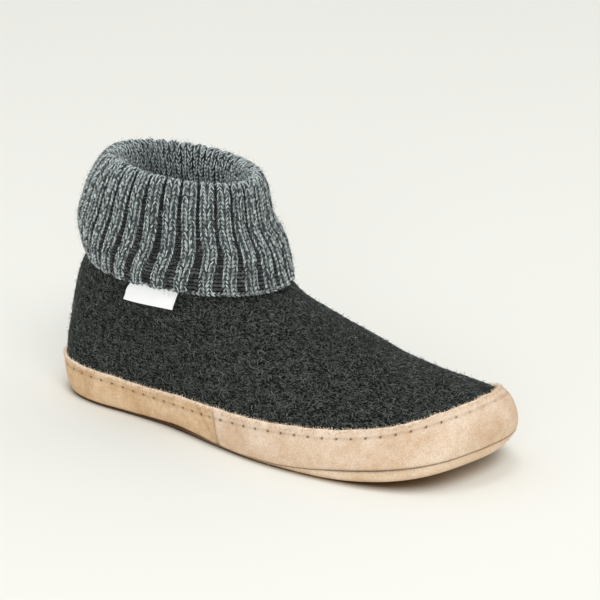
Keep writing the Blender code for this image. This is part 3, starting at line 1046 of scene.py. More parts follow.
def mark_rand(piece, outside, climbed, distance, hole, channel, crease):
    """Store a strip's soil and painted shade, needle-hole shade and rubbing; hidden rows count as rubbed.
    """
    over_edge = climbed - climbed[-1]
    soil_and_shade = BOTTOM_SHADE * fade(climbed, BOTTOM_SHADE_WIDTH)
    soil_and_shade = soil_and_shade + END_SOIL * (fade(distance, END_WIDTH) + fade(distance[-1] - distance, END_WIDTH))
    soil_and_shade = soil_and_shade + CHANNEL_SHADE * channel + CREASE_SHADE * crease
    flecks = np.clip(-lumps(outside, FLECK_SIZE) - FLECK_RARITY, 0.0, 1.0)
    soil_and_shade = soil_and_shade + FLECK_SOIL * ramp(over_edge, -FLECK_REACH, FLECK_RUN) * flecks
    rub = ramp(over_edge, -RUB_REACH, RUB_REACH) * (RUB_MEAN + RUB_CHANGE * lumps(outside, RUB_SIZE))
    hidden = np.ones(len(piece.data.vertices) - climbed.size)
    marks = {"soil_and_shade": (soil_and_shade, 0.0), "hole": (HOLE_SHADE_STRENGTH * hole, 0.0), "rub": (rub, 1.0)}
    for mark, (shown, inside) in marks.items():
        give_attribute(piece, mark, np.clip(np.concatenate([shown.ravel(), inside * hidden]), 0.0, 1.0))


print("the upper edge is rubbed pale over", RUB_REACH, "mm")

# %% The rand's section: rows up its outside, over its rounded top and down its inside
OUTER_SHARES = np.concatenate([np.linspace(0.0, 0.62, 14), np.linspace(0.64, 1.0, 22)])
INSIDE_SHARES = np.array([1.0, 0.66, 0.33, 0.0])
TOP_ROUND = np.radians([25.0, 65.0, 115.0, 155.0])
TOP_ROUND_RISE = 0.6


def round_top(rows_at, top_out):
    """Rows that round a strip over from the outside of its upper edge to the inside."""
    radius = 0.5 * (top_out - GAP)
    cap = []
    for angle in TOP_ROUND:
        ridge = rows_at(np.ones(1), GAP + radius * (1 + np.cos(angle)))
        ridge[..., 2] += TOP_ROUND_RISE * radius * np.sin(angle)
        cap.append(ridge)
    return np.concatenate(cap)


print("rows round the section:", len(OUTER_SHARES) + len(TOP_ROUND) + len(INSIDE_SHARES))

# %% Build one strip of the rand
SEAM_SLANT = 0.041
SEAM_FADE = 9.0
CHANNEL_DEPTH = 0.22
HOLE_DEPTH = 0.6
PILLOW_DEPTH = 0.12
PILLOW_WIDTH = 3.0
CREASE_DEPTH = 0.45
SUEDE_LUMPS = {15.0: 0.22, 3.0: 0.07}
EDGE_PRESS = 0.5
EDGE_PRESS_START = 0.9
EDGE_PRESS_RUN = 0.1
FUZZ_ROWS = 4


def build_rand(name, start, end, columns, stitch_pitch, slant_way, material):
    """Build one strip of the rand and return it with what its threads and its fuzz need."""
    strip_turns = even_turns(start, end, columns)
    stitch_level, distance = stitch_line(strip_turns)
    low_level, high_level = rand_edges(strip_turns, distance)
    near_start = np.exp(-distance / SEAM_FADE)
    near_end = np.exp(-(distance[-1] - distance) / SEAM_FADE)
    slant = slant_way * SEAM_SLANT * (near_start - near_end)

    def rows_at(shares, out):
        """Rows at shares of the strip's height and a distance outside the felt."""
        levels = low_level + shares[:, None] * (high_level - low_level)
        return felt_offset(levels, strip_turns + (0.5 - shares[:, None]) * slant, out)

    smooth_rows = rows_at(OUTER_SHARES, GAP + SUEDE)
    rise = np.linalg.norm(np.diff(smooth_rows, axis=0), axis=2)
    climbed = np.concatenate([np.zeros((1, columns)), np.cumsum(rise, axis=0)])
    line_share = (stitch_level - low_level) / (high_level - low_level)
    at_line = np.array([np.interp(line_share[i], OUTER_SHARES, climbed[:, i]) for i in range(columns)])
    from_line = climbed - at_line
    count = int(round(distance[-1] / stitch_pitch))
    holes = (np.arange(count) + 0.5) * distance[-1] / count
    from_hole = np.abs(distance[:, None] - holes).min(axis=1)
    pressed = pressed_in(strip_turns, distance, climbed, from_line, from_hole, slant_way < 0)
    hole, channel, crease = pressed

    pillow = PILLOW_DEPTH * np.cos(2 * np.pi * from_hole / stitch_pitch) * fade(from_line, PILLOW_WIDTH)
    edge_press = EDGE_PRESS * ramp(OUTER_SHARES[:, None], EDGE_PRESS_START, EDGE_PRESS_RUN) ** 2
    out = GAP + SUEDE + lump_sum(smooth_rows, SUEDE_LUMPS) - pillow - edge_press
    out = out - CHANNEL_DEPTH * channel - HOLE_DEPTH * hole - CREASE_DEPTH * crease
    outside = rows_at(OUTER_SHARES, out)
    points = np.concatenate([outside, round_top(rows_at, out[-1]), rows_at(INSIDE_SHARES, GAP)])
    piece = make_piece(name, points, strip_faces(len(points), columns), material)
    mark_rand(piece, outside, climbed, distance, *pressed)
    return {
        "piece": piece,
        "turns": strip_turns,
        "levels": stitch_level,
        "distance": distance,
        "holes": holes,
        "edge_rows": points[len(outside) - FUZZ_ROWS : len(outside) + FUZZ_ROWS],
    }


print("strip ends slant by up to", SEAM_SLANT, "radians")

# %% Build both strips
SEAM_TURN = 1.522
SEAM_HALF = GAP / (TOE_X - HEEL_X)
HEEL_COLUMNS = 380
FRONT_COLUMNS = 540
HEEL_PITCH = 7.5
FRONT_PITCH = 7.8
heel_end = SEAM_TURN - SEAM_HALF
front_start = SEAM_TURN + SEAM_HALF
front_end = 2 * np.pi - SEAM_TURN - SEAM_HALF
heel_strip = build_rand(
    "rand_heel_suede", -heel_end, heel_end, HEEL_COLUMNS, HEEL_PITCH, -1.0, heel_suede
)
front_strip = build_rand(
    "rand_front_suede", front_start, front_end, FRONT_COLUMNS, FRONT_PITCH, 1.0, front_suede
)
dress(heel_strip["piece"], "suede", "rand_heel")
dress(front_strip["piece"], "suede", "rand_front")

# %% [markdown]
# ## Threads and stitches from one tree
# A sewing stitch between two needle holes, one ply of a knitted loop and one loop of a hem are all a
# short plump length of yarn. So one tree serves them all: at each point of a ground mesh it puts a
# spindle of four sides, turned to the point's own direction and outward direction, with the point's own
# size. The spindle is a scaled sphere with few faces, because there are thousands of them.

# %% The yarn tree
YARN_INPUTS = {
    "Length": "NodeSocketFloat",
    "Width": "NodeSocketFloat",
    "Depth": "NodeSocketFloat",
    "Material": "NodeSocketMaterial",
}
yarn_tree, yarn_in = start_tree("yarn_lengths", YARN_INPUTS)
ball = add_node(yarn_tree, "GeometryNodeMeshUVSphere", {"Segments": 4, "Rings": 4, "Radius": 0.5})
size = add_node(
    yarn_tree,
    "ShaderNodeCombineXYZ",
    {"X": yarn_in["Width"], "Y": yarn_in["Depth"], "Z": yarn_in["Length"]},
)
spindle = add_node(
    yarn_tree,
    "GeometryNodeTransform",
    {"Geometry": ball.outputs["Mesh"], "Scale": size.outputs[0]},
)
rounded = add_node(yarn_tree, "GeometryNodeSetShadeSmooth", {"Geometry": spindle.outputs[0]})
own = {}
for title in ("along", "out", "swell"):
    stored = add_node(
        yarn_tree,
        "GeometryNodeInputNamedAttribute",
        {"Name": title},
        data_type="FLOAT_VECTOR",
    )
    own[title] = stored.outputs[0]
laid = add_node(
    yarn_tree,
    "FunctionNodeAxesToRotation",
    {"Primary Axis": own["along"], "Secondary Axis": own["out"]},
    primary_axis="Z",
    secondary_axis="Y",
)
lengths = add_node(
    yarn_tree,
    "GeometryNodeInstanceOnPoints",
    {
        "Points": yarn_in["Geometry"],
        "Instance": rounded.outputs[0],
        "Rotation": laid.outputs[0],
        "Scale": own["swell"],
    },
)
end_tree(yarn_tree, lengths.outputs["Instances"], yarn_in["Material"])
print("yarn tree:", len(yarn_tree.nodes), "nodes")

# %% Sew the rand with cotton thread, which hardly shows on suede of its own colour
THREAD_SINK = 0.5
THREAD_WIDTH = 0.6
THREAD_SHARE = 0.94
THREAD_STEP = 0.004
thread = toned_material("cotton_thread_tan", "#c9a57c", "#dcbf9b", sheen=0.1, rarity=1.0)[0]
rng = np.random.default_rng(11)


def lay_yarn(name, slot, sizes, centre, along, out, swell, tone):
    """Lay a length of yarn at each centre, with its own direction, size and tone."""
    attributes = {"along": along, "out": out, "swell": swell, "tone": np.clip(tone, 0.0, 1.0)}
    ground = make_ground(name + "_points", centre, [], attributes)
    dress(grow(name, ground, yarn_tree, sizes), slot)


def sew(name, strip):
    """Lay one thread between each pair of needle holes of a strip."""
    holes = strip["holes"]
    middles = (holes[1:] + holes[:-1]) / 2
    turn = np.interp(middles, strip["distance"], strip["turns"])
    level = np.interp(middles, strip["distance"], strip["levels"])
    sunk = GAP + SUEDE - THREAD_SINK
    step = felt_offset(level, turn + THREAD_STEP, sunk) - felt_offset(level, turn - THREAD_STEP, sunk)
    sizes = {
        "Length": THREAD_SHARE * (holes[1] - holes[0]) * MM,
        "Width": THREAD_WIDTH * MM,
        "Depth": THREAD_WIDTH * MM,
        "Material": thread,
    }
    centre = felt_offset(level, turn, sunk)
    outward = felt_out(level, turn)
    swell = np.ones((len(middles), 3))
    tone = rng.random(len(middles))
    lay_yarn(name, "suede", sizes, centre, unit(step), outward, swell, tone)


sew("stitches_heel", heel_strip)
sew("stitches_front", front_strip)

# %% [markdown]
# ## Fuzz on the cut edges
# Suede frays where it is cut: short pale fibres stand along the rand's upper edge and on the sole's edge.
# The same tree that grew the wool fibres grows them, shorter, denser and in the colour of the hide.

# %% Fuzz along the rand's upper edge
suede_fibre = toned_material("suede_fibre_pale", "#d9b78f", "#fbeedd", sheen=0.1, rarity=0.8)[0]
FUZZ = {
    "Fibres per square metre": 2000000.0,
    "Fibre length": 0.0017,
    "Slenderness": 0.05,
    "Least tilt": -0.2,
    "Most tilt": -1.1,
    "Seed": 23,
    "Material": suede_fibre,
}
for name, strip in (("rand_heel_fuzz", heel_strip), ("rand_front_fuzz", front_strip)):
    edge_rows = strip["edge_rows"]
    grow_fibres(name, "suede", edge_rows, grid_faces(*edge_rows.shape[:2], False, False), FUZZ)

# %% [markdown]
# ## Outsole and insole
# The sole is covered with the same suede. Its edge shows as a band under the rand at the forefoot. At the
# waist and heel it is only a dark line of painted shade, for the gap under the rand, that stands half a
# millimetre proud of the rand. The insole is a plain felt that can only be seen by looking down into the
# collar. Both are slabs: rings stacked upward, whose two ends are closed with rungs from the outer side to
# the inner side, each cut into short pieces so that the sole can curve.

# %% Build a slab with rungs
SLAB_COLUMNS = 320
RUNG_PARTS = 14
slab_turns = np.linspace(0.0, 2 * np.pi, SLAB_COLUMNS, endpoint=False)


def close_ring(rings, row, points, faces):
    """Close one ring of a slab with rungs that run straight across the foot."""
    half = SLAB_COLUMNS // 2
    share = np.linspace(0.0, 1.0, RUNG_PARTS + 1)[:, None]
    first = row * SLAB_COLUMNS
    rungs = [[first] * (RUNG_PARTS + 1)]
    for rung in range(1, half):
        one = rings[row][rung]
        other = rings[row][SLAB_COLUMNS - rung]
        across = one + share * (other - one)
        straight = lift(one[0]) + share[:, 0] * (lift(other[0]) - lift(one[0]))
        across[:, 2] += lift(across[:, 0]) - straight
        start = len(points)
        points.extend(across[1:-1])
        rungs.append([first + rung, *range(start, start + RUNG_PARTS - 1), first + SLAB_COLUMNS - rung])
    rungs.append([first + half] * (RUNG_PARTS + 1))
    for this, following in zip(rungs[:-1], rungs[1:]):
        for part in range(RUNG_PARTS):
            corners = (this[part], this[part + 1], following[part + 1], following[part])
            faces.append(list(dict.fromkeys(corners)))


def build_slab(name, rings, material):
    """Build a closed slab from rings stacked upward."""
    points = list(np.concatenate(rings))
    faces = grid_faces(len(rings), SLAB_COLUMNS, False, True)
    close_ring(rings, 0, points, faces)
    close_ring(rings, len(rings) - 1, points, faces)
    return make_piece(name, np.array(points), faces, material)


print("a slab has", SLAB_COLUMNS, "points round it and", RUNG_PARTS, "parts to a rung")

# %% Shape the sole's rough edge
EDGE_ROUNDING = 1.4
EDGE_PROUD = 0.5
EDGE_FLAT = 0.1
EDGE_BELLY = 0.12
EDGE_TURN_IN = 0.35
EDGE_START = 0.5 * EDGE_ROUNDING
# Points of the rounded lower corner: height and depth as shares of the rounding.
CORNER = ((0.0, 1.0), (0.12, 0.45))
BAND_SHARES = (0.3, 0.55, 0.8, 0.94)
SOLE_LUMPS = {2.6: 0.16, 11.0: 0.22}
LUMP_HEIGHT = 2.0
HEEL_SETTLE = 0.85

sole_edge = edge_at("outsole_edge", slab_turns)
hidden_edge = np.clip(edge_at("edge_inset", slab_turns), 0.0, 1.0)
edge_out = GAP + SUEDE + EDGE_PROUD * edge_at("edge_inset", slab_turns)
rough_out = edge_out + lump_sum(flat_ring(LUMP_HEIGHT, slab_turns, edge_out), SOLE_LUMPS)
sole_rings = [
    flat_ring(height * EDGE_ROUNDING, slab_turns, edge_out - depth * EDGE_ROUNDING)
    for height, depth in CORNER
]
sole_rings.append(flat_ring(EDGE_START, slab_turns, rough_out - EDGE_FLAT))
for share in BAND_SHARES:
    height = EDGE_START + share * (sole_edge - EDGE_START)
    sole_rings.append(flat_ring(height, slab_turns, rough_out + EDGE_BELLY * np.sin(np.pi * share)))
sole_rings += [
    flat_ring(sole_edge, slab_turns, rough_out - EDGE_TURN_IN),
    flat_ring(sole_edge, slab_turns, 0.0),
    flat_ring(CORE_TOP, slab_turns, 0.0),
]
# The dark line of painted shade at the waist and heel comes down almost to the floor where the sole is
# lifted.
for low_ring in sole_rings[:3]:
    low_ring[:, 2] -= HEEL_SETTLE * hidden_edge * lift(low_ring[:, 0])
print("sole edge at the toe:", sole_edge.max().round(1), "mm")

# %% Build the sole, paint shade on its edge and fray the band that shows
# Painted shade per ring from the floor up: dark at the lowest corner, clear on the band, dark under the
# rand.
SOLE_SHADE = (0.6, 0.4, 0.12, 0.0, 0.0, 0.1, 0.5, 1.0, 1.0, 1.0)
BAND_ROWS = slice(3, 8)
BAND_SHOWS = 0.4
SOLE_FUZZ = {**FUZZ, "Fibres per square metre": 900000.0, "Fibre length": 0.0012}

outsole = build_slab("outsole_suede", sole_rings, sole_suede)
sole_shade = np.zeros(len(outsole.data.vertices))
# At the waist and heel the whole edge is painted dark, as shade for the gap under the rand.
ring_shade = np.maximum(np.array(SOLE_SHADE)[:, None], hidden_edge)
sole_shade[: ring_shade.size] = ring_shade.ravel()
give_attribute(outsole, "soil_and_shade", sole_shade)
dress(outsole, "suede", "outsole")
sole_band = np.array(sole_rings[BAND_ROWS])
band_faces = np.array(grid_faces(*sole_band.shape[:2], False, True))
band_faces = band_faces[hidden_edge[band_faces[:, 0] % SLAB_COLUMNS] < BAND_SHOWS].tolist()
grow_fibres("sole_edge_fuzz", "suede", sole_band, band_faces, SOLE_FUZZ)

# %% Build the insole
INSOLE_OUT = -FELT - 2 * GAP
INSOLE_BEVEL = 1.0
INSOLE_WALL = 0.8 * INSOLE_THICKNESS
insole_felt = felt_material("insole_felt_grey", "#3a3f40", "#403f41", "#7d817f", sheen=0.3)
insole_rings = [
    flat_ring(CORE_TOP + GAP, slab_turns, INSOLE_OUT),
    flat_ring(CORE_TOP + GAP + INSOLE_WALL, slab_turns, INSOLE_OUT),
    flat_ring(CORE_TOP + GAP + INSOLE_THICKNESS, slab_turns, INSOLE_OUT - INSOLE_BEVEL),
]
insole = build_slab("insole_felt", insole_rings, insole_felt)
dress(insole, "felt", "insole")

# %% [markdown]
# ## The knit cuff's ground
# The cuff is a tube of two-by-two rib in a grey marl yarn, sewn to the collar and folded down over the
# felt. Rib knitting folds by itself into ridges of plain stitches with channels of purl stitches between
# them, and here the channels open towards the front of the hem. First comes a closed ground, grey on the
# ridges and dark in the channels, so that nothing shines through between the stitches that will lie on it.
# Ribs are drawn a little towards the heel on their way down, which the table's swing column gives.

# %% The cuff's face as a function
CUFF_ROWS = len(CUFF) - 1


def cuff_face(row, turn):
    """Point on the rib tops of the cuff: row 0 is the hem, the last row the collar seam."""
    row, turn = np.broadcast_arrays(np.asarray(row, dtype=float), np.asarray(turn, dtype=float))
    here = {name: smooth(row, np.arange(len(CUFF), dtype=float), values) for name, values in cuff.items()}
    turn = turn + here["swing"] * np.sin(turn)
    x = here["centre_x"] - here["half_length"] * np.cos(turn)
    y = -here["half_width"] * np.sin(turn)
    return np.stack([x, y, here["height"] + here["tilt"] * (x - here["centre_x"])], axis=-1)


def cuff_axes(row, turn):
    """Directions around, along the rib and outwards on the cuff, and millimetres per radian."""
    step = 0.01
    around = cuff_face(row, turn + step) - cuff_face(row, turn - step)
    row_step = 0.2
    above = np.clip(row + row_step, 0.0, CUFF_ROWS)
    below = np.clip(row - row_step, 0.0, CUFF_ROWS)
    along = unit(cuff_face(above, turn) - cuff_face(below, turn))
    per_radian = np.linalg.norm(around, axis=-1) / (2 * step)
    outward = unit(np.cross(around, along))
    return unit(around), along, outward, per_radian


print("cuff height:", cuff["height"].min(), "to", cuff["height"].max(), "mm")

# %% Ridges and channels of the rib
RIB_PHASE = 0.40
RIB_STEP = 2 * np.pi / RIBS
RIB_WIDTH = 8.4
OUTSIDE_SHARE = 0.87
INSIDE_SHARE = 0.90
FOLD_START = 6.0
FOLD_RUN = 1.5
CHANNEL_OUTSIDE = 1.7
CHANNEL_INSIDE = 0.9
GROUND_SINK = 1.0
RIB_SHOULDER = 1.12
RIB_STEEPNESS = 2.2


def rib_size(row, turn):
    """Pitch from rib to rib, width of a rib, and how far inside the fold a row is, from 0 to 1."""
    pitch = cuff_axes(row, turn)[3] * RIB_STEP
    inside = ramp(row, FOLD_START, FOLD_RUN)
    share = OUTSIDE_SHARE + inside * (INSIDE_SHARE - OUTSIDE_SHARE)
    return pitch, np.minimum(RIB_WIDTH, share * pitch), inside


def rib_sink(row, turn):
    """Share of the way down from a ridge into a channel, and the channel's depth."""
    pitch, width, inside = rib_size(row, turn)
    from_rib = np.mod(turn / RIB_STEP - RIB_PHASE + 0.5, 1.0) - 0.5
    aside = np.abs(from_rib) * pitch / (0.5 * width)
    ridge = np.clip(RIB_SHOULDER - aside, 0.0, None)
    depth = CHANNEL_OUTSIDE + inside * (CHANNEL_INSIDE - CHANNEL_OUTSIDE)
    return 1 - np.tanh(RIB_STEEPNESS * ridge), depth


print("pitch of the ribs at the hem's outer side:", rib_size(0.0, 0.5 * np.pi)[0].round(1), "mm")

# %% Knit in shadow, which looks dark and slightly fluffy between the stitches
FLUFF_SIZE = 0.00111
knit_ground, knit_tree, knit_surface, knit_coords = start_material(
    "wool_knit_shadow", roughness=0.95, sheen=0.05, sheen_roughness=0.5
)
fluff = add_node(
    knit_tree,
    "ShaderNodeTexNoise",
    {"Vector": knit_coords, "Scale": 1 / FLUFF_SIZE, "Detail": 3.0},
)
rib_colour = add_node(
    knit_tree,
    "ShaderNodeMix",
    {0: fluff.outputs["Fac"], 6: linear("#131718"), 7: linear("#4a5253")},
    data_type="RGBA",
)
in_channel = add_node(knit_tree, "ShaderNodeAttribute", attribute_name="channel")
ground_colour = add_node(
    knit_tree,
    "ShaderNodeMix",
    {0: in_channel.outputs["Fac"], 6: rib_colour.outputs[2], 7: linear("#121516")},
    data_type="RGBA",
)
knit_tree.links.new(ground_colour.outputs[2], knit_surface.inputs["Base Color"])
print("ground of the knit:", knit_ground.name)

# %% Build the cuff's ground
GROUND_COLUMNS = RIBS * 12
FACE_ROWS = np.linspace(0.0, CUFF_ROWS, 52)[:, None]
BACK_ROWS = np.linspace(CUFF_ROWS, 0.0, 14)[:, None]
CHANNEL_START = 0.3
CHANNEL_RUN = 0.4

ground_turns = np.linspace(0.0, 2 * np.pi, GROUND_COLUMNS, endpoint=False)
face_sink, channel_depth = rib_sink(FACE_ROWS, ground_turns)
face_depth = GROUND_SINK + channel_depth * face_sink
face_out = cuff_axes(FACE_ROWS, ground_turns)[2]
face_points = cuff_face(FACE_ROWS, ground_turns) - face_depth[..., None] * face_out
back_out = cuff_axes(BACK_ROWS, ground_turns)[2]
back_points = cuff_face(BACK_ROWS, ground_turns) - (RIB_HEIGHT + KNIT_WALL) * back_out
back_points[0, :, 2] = face_points[-1, :, 2]
cuff_points = np.concatenate([face_points, back_points])
cuff_faces = grid_faces(len(cuff_points), GROUND_COLUMNS, True, True)
cuff_ground = make_piece("cuff_knit_ground", cuff_points, cuff_faces, knit_ground)
channel = np.zeros(cuff_points.shape[:2])
channel[: len(FACE_ROWS)] = ramp(face_sink, CHANNEL_START, CHANNEL_RUN)
give_attribute(cuff_ground, "channel", channel)
dress(cuff_ground, "knit", "cuff")

# %% [markdown]
# ## Knit stitches
# On a plain ridge every stitch shows as a V: two legs of yarn that lean together. Each rib has two
# columns of them, 2.05 mm from row to row. The marl yarn twists a pale and a dark ply, so each leg is
# laid as two spindles of different tone, side by side and a little twisted. The legs are placed along each
# rib at even steps of real length, from the hem over the fold and down inside. A displaced surface would
# look smooth here: separate legs keep the small shadows that make knitting look knitted.

# %% Marl yarn material
PLY_NOISE = 0.0006


def yarn_material(name, dark, pale):
    """Marl wool yarn: each ply has a tone, broken up by the fibres of the strand."""
    toned_parts = toned_material(name, dark, pale, sheen=0.15, rarity=1.2)
    material, tree, surface, coords, colour = toned_parts
    ply = add_node(tree, "ShaderNodeTexNoise", {"Vector": coords, "Scale": 1 / PLY_NOISE, "Detail": 2.0})
    strand = add_node(
        tree,
        "ShaderNodeMapRange",
        {"Value": ply.outputs["Fac"], "From Min": 0.3, "From Max": 0.7, "To Min": 0.7, "To Max": 1.3},
    )
    plied = add_node(
        tree,
        "ShaderNodeVectorMath",
        {0: colour.outputs[2], "Scale": strand.outputs["Result"]},
        operation="SCALE",
    )
    paint(tree, surface, plied.outputs[0], ply.outputs["Fac"], strength=0.6, depth=0.0004)
    return material


marl_yarn = yarn_material("wool_marl_yarn_grey", "#2e3536", "#c8d2d1")
print("yarn:", marl_yarn.name)

# %% Place yarn along the ribs
ROW_HEIGHT = 2.05
FIRST_ROW = 0.6
YARN_RISE = 0.16
RIB_STEPS = 600


def rib_rows(turn):
    """Cuff rows at even steps of real length along one rib, from the hem to the collar."""
    fine = np.linspace(0.0, CUFF_ROWS, RIB_STEPS)
    steps = np.linalg.norm(np.diff(cuff_face(fine, turn), axis=0), axis=1)
    walked = np.concatenate([[0.0], np.cumsum(steps)])
    return np.interp(np.arange(FIRST_ROW * ROW_HEIGHT, walked[-1], ROW_HEIGHT), walked, fine)


def place_on_cuff(rows, turns_here, lean, sink):
    """Centres, directions and outward directions of yarn that leans from the rib and is sunk a little."""
    around, along, outward, _ = cuff_axes(rows, turns_here)
    direction = along * np.cos(lean)[:, None] + around * np.sin(lean)[:, None] + YARN_RISE * outward
    centre = cuff_face(rows, turns_here) - sink[:, None] * outward
    return centre, unit(direction), outward


print("rows of stitches on the first rib:", len(rib_rows(RIB_PHASE * RIB_STEP)))

# %% Lay out the legs of the plain stitches
LEG_PLACES = (-0.375, -0.13, 0.13, 0.375)
INSIDE_PLACES = (-0.385, -0.17, 0.17, 0.385)
LEG_LEANS = np.array([1.0, -1.0, 1.0, -1.0]) * np.radians(22.0)
LEG_SINK = 0.62
RIB_CROWN = 2.1
FLATTER_INSIDE = 0.6
LEAN_SPREAD = 0.11
SINK_SPREAD = 0.06
LENGTH_SPREAD = 0.05

legs = []
for rib in range(RIBS):
    rib_turn = (rib + RIB_PHASE) * RIB_STEP
    rows = rib_rows(rib_turn)
    pitch, width, inside = rib_size(rows, rib_turn)
    for outer_place, inner_place, lean in zip(LEG_PLACES, INSIDE_PLACES, LEG_LEANS):
        place = outer_place + inside * (inner_place - outer_place)
        leg_turn = rib_turn + place * width / pitch * RIB_STEP
        sink = LEG_SINK + RIB_CROWN * (1 - FLATTER_INSIDE * inside) * (2 * place) ** 2
        legs.append(np.stack([rows, leg_turn, np.full(len(rows), lean), sink, width / RIB_WIDTH]))
leg_rows, leg_turns, leg_leans, leg_sinks, leg_widths = np.concatenate(legs, axis=1)
leg_count = len(leg_rows)
leg_leans = leg_leans + rng.normal(0.0, LEAN_SPREAD, leg_count)
leg_sinks = leg_sinks + rng.normal(0.0, SINK_SPREAD, leg_count)
leg_centre, leg_along, leg_out = place_on_cuff(leg_rows, leg_turns, leg_leans, leg_sinks)
leg_lengths = rng.normal(1.0, LENGTH_SPREAD, leg_count)
leg_swell = np.stack([leg_widths, np.ones(leg_count), leg_lengths], axis=-1)
leg_side = np.cross(leg_out, leg_along) * np.where(rng.random(leg_count) < 0.5, -1.0, 1.0)[:, None]
print(leg_count, "legs of plain stitches")

# %% Twist each leg from a pale and a dark ply, and grow the outer and the inner knitting
FOLD_ROW = 6.6
PLY_ASIDE = 0.36
PLY_TWIST = 0.11
PLY_SPREAD = 0.25
PLY_TONES = {1.0: 0.71, -1.0: 0.29}
INSIDE_TONES = {1.0: 0.95, -1.0: 0.22}
PLY_SIZES = {"Length": 2.5 * MM, "Width": 0.88 * MM, "Depth": 1.3 * MM, "Material": marl_yarn}
KNITTING = (
    ("knit_outside", leg_rows <= FOLD_ROW, PLY_TONES),
    ("knit_fold_and_inside", leg_rows > FOLD_ROW, INSIDE_TONES),
)
for name, chosen, tones in KNITTING:
    plies = []
    for side, tone in tones.items():
        aside = side * leg_side[chosen]
        ply_centre = leg_centre[chosen] + PLY_ASIDE * aside
        ply_along = unit(leg_along[chosen] + PLY_TWIST * aside)
        ply_tone = rng.normal(tone, PLY_SPREAD, chosen.sum())
        plies.append((ply_centre, ply_along, leg_out[chosen], leg_swell[chosen], ply_tone))
    lay_yarn(name, "knit", PLY_SIZES, *[np.concatenate(both) for both in zip(*plies)])

# %% [markdown]
# ## Purl bars and the hem
# Where a channel opens, the purl stitches at its bottom show as short bars across it. They run up the
# channel to near the fold and get darker on the way, because less light reaches them. The hem ends in a
# bound-off edge, a chain of slanted loops that runs round the tube over ridges and channels. Both are
# lengths of the same yarn, so the same tree lays them.

# %% Purl bars in the channels, of the same yarn in the shade
PURL_ROWS_TO = 5.2
PURL_PLACES = (-0.26, 0.26)
PURL_SINK = 2.0
PURL_LEAN_SPREAD = 0.3
PURL_LENGTH = 2.0
PURL_SHARE = 0.62
PURL_TONE = 0.38
PURL_TONE_SPREAD = 0.35
PURL_SHADE = 0.36
PURL_SHADE_START = 1.2
PURL_SHADE_RUN = 2.4
purl_yarn = yarn_material("wool_marl_yarn_shaded", "#0f1111", "#585c5b")
PURL_SIZES = {"Length": PURL_LENGTH * MM, "Width": 1.5 * MM, "Depth": 1.2 * MM, "Material": purl_yarn}

bars = []
for rib in range(RIBS):
    channel_turn = (rib + RIB_PHASE + 0.5) * RIB_STEP
    rows = rib_rows(channel_turn)
    rows = rows[rows < PURL_ROWS_TO]
    pitch, width, _ = rib_size(rows, channel_turn)
    for place in PURL_PLACES:
        bar_turn = channel_turn + place * (pitch - width) / pitch * RIB_STEP
        bars.append(np.stack([rows, bar_turn, pitch - width]))
purl_rows, purl_turns, purl_widths = np.concatenate(bars, axis=1)
full_size = np.ones(len(purl_rows))
purl_lean = np.radians(90.0) + rng.normal(0.0, PURL_LEAN_SPREAD, len(purl_rows))
purl_places = place_on_cuff(purl_rows, purl_turns, purl_lean, PURL_SINK * full_size)
purl_swell = np.stack([full_size, full_size, PURL_SHARE * purl_widths / PURL_LENGTH], axis=-1)
purl_tone = rng.normal(PURL_TONE, PURL_TONE_SPREAD, len(purl_rows))
purl_tone = purl_tone - PURL_SHADE * ramp(purl_rows, PURL_SHADE_START, PURL_SHADE_RUN)
lay_yarn("knit_purl_bars", "knit", PURL_SIZES, *purl_places, purl_swell, purl_tone)

# %% Bound-off chain along the hem
CHAIN_LOOPS = RIBS * 5
CHAIN_ROWS = (0.02, 0.16)
CHAIN_LEAN = 0.35
CHAIN_SINK = 0.75
CHAIN_TONE = 0.4
CHAIN_TONE_SPREAD = 0.3
CHAIN_SIZES = {"Length": 2.7 * MM, "Width": 1.1 * MM, "Depth": 1.3 * MM, "Material": marl_yarn}

chain_turns = np.repeat((np.arange(CHAIN_LOOPS) + 0.5) * 2 * np.pi / CHAIN_LOOPS, 2)
chain_rows = np.tile(CHAIN_ROWS, CHAIN_LOOPS)
chain_lean = np.radians(90.0) + np.tile([CHAIN_LEAN, -CHAIN_LEAN], CHAIN_LOOPS)
chain_sink, chain_channel = rib_sink(chain_rows, chain_turns)
chain_depth = CHAIN_SINK * (GROUND_SINK + chain_channel * chain_sink)
chain_places = place_on_cuff(chain_rows, chain_turns, chain_lean, chain_depth)
chain_swell = np.ones((len(chain_rows), 3))
chain_tone = rng.normal(CHAIN_TONE, CHAIN_TONE_SPREAD, len(chain_rows))
lay_yarn("knit_hem_chain", "knit", CHAIN_SIZES, *chain_places, chain_swell, chain_tone)

# %% [markdown]
# ## Hairs of the yarn
# Wool yarn is never quite smooth: thin hairs stand off the cuff and soften its outline against the light.
# They are the felt's fibres again, longer for their thickness, on the outside and the fold of the cuff.

# %% Loose yarn hairs on the cuff
HAIR_ROWS = FACE_ROWS[:36]
HAIR_SINK = 0.4
yarn_hair = toned_material("wool_yarn_hair", "#5b6162", "#b9c0bf", sheen=0.1, rarity=1.2)[0]
KNIT_HAIRS = {
    "Fibres per square metre": 130000.0,
    "Fibre length": 0.0033,
    "Slenderness": 0.015,
    "Least tilt": -0.15,
    "Most tilt": -1.0,
    "Seed": 31,
    "Material": yarn_hair,
}
hair_points = cuff_face(HAIR_ROWS, ground_turns) - HAIR_SINK * cuff_axes(HAIR_ROWS, ground_turns)[2]
hair_faces = grid_faces(len(HAIR_ROWS), GROUND_COLUMNS, False, True)
grow_fibres("knit_hairs", "knit", hair_points, hair_faces, KNIT_HAIRS)

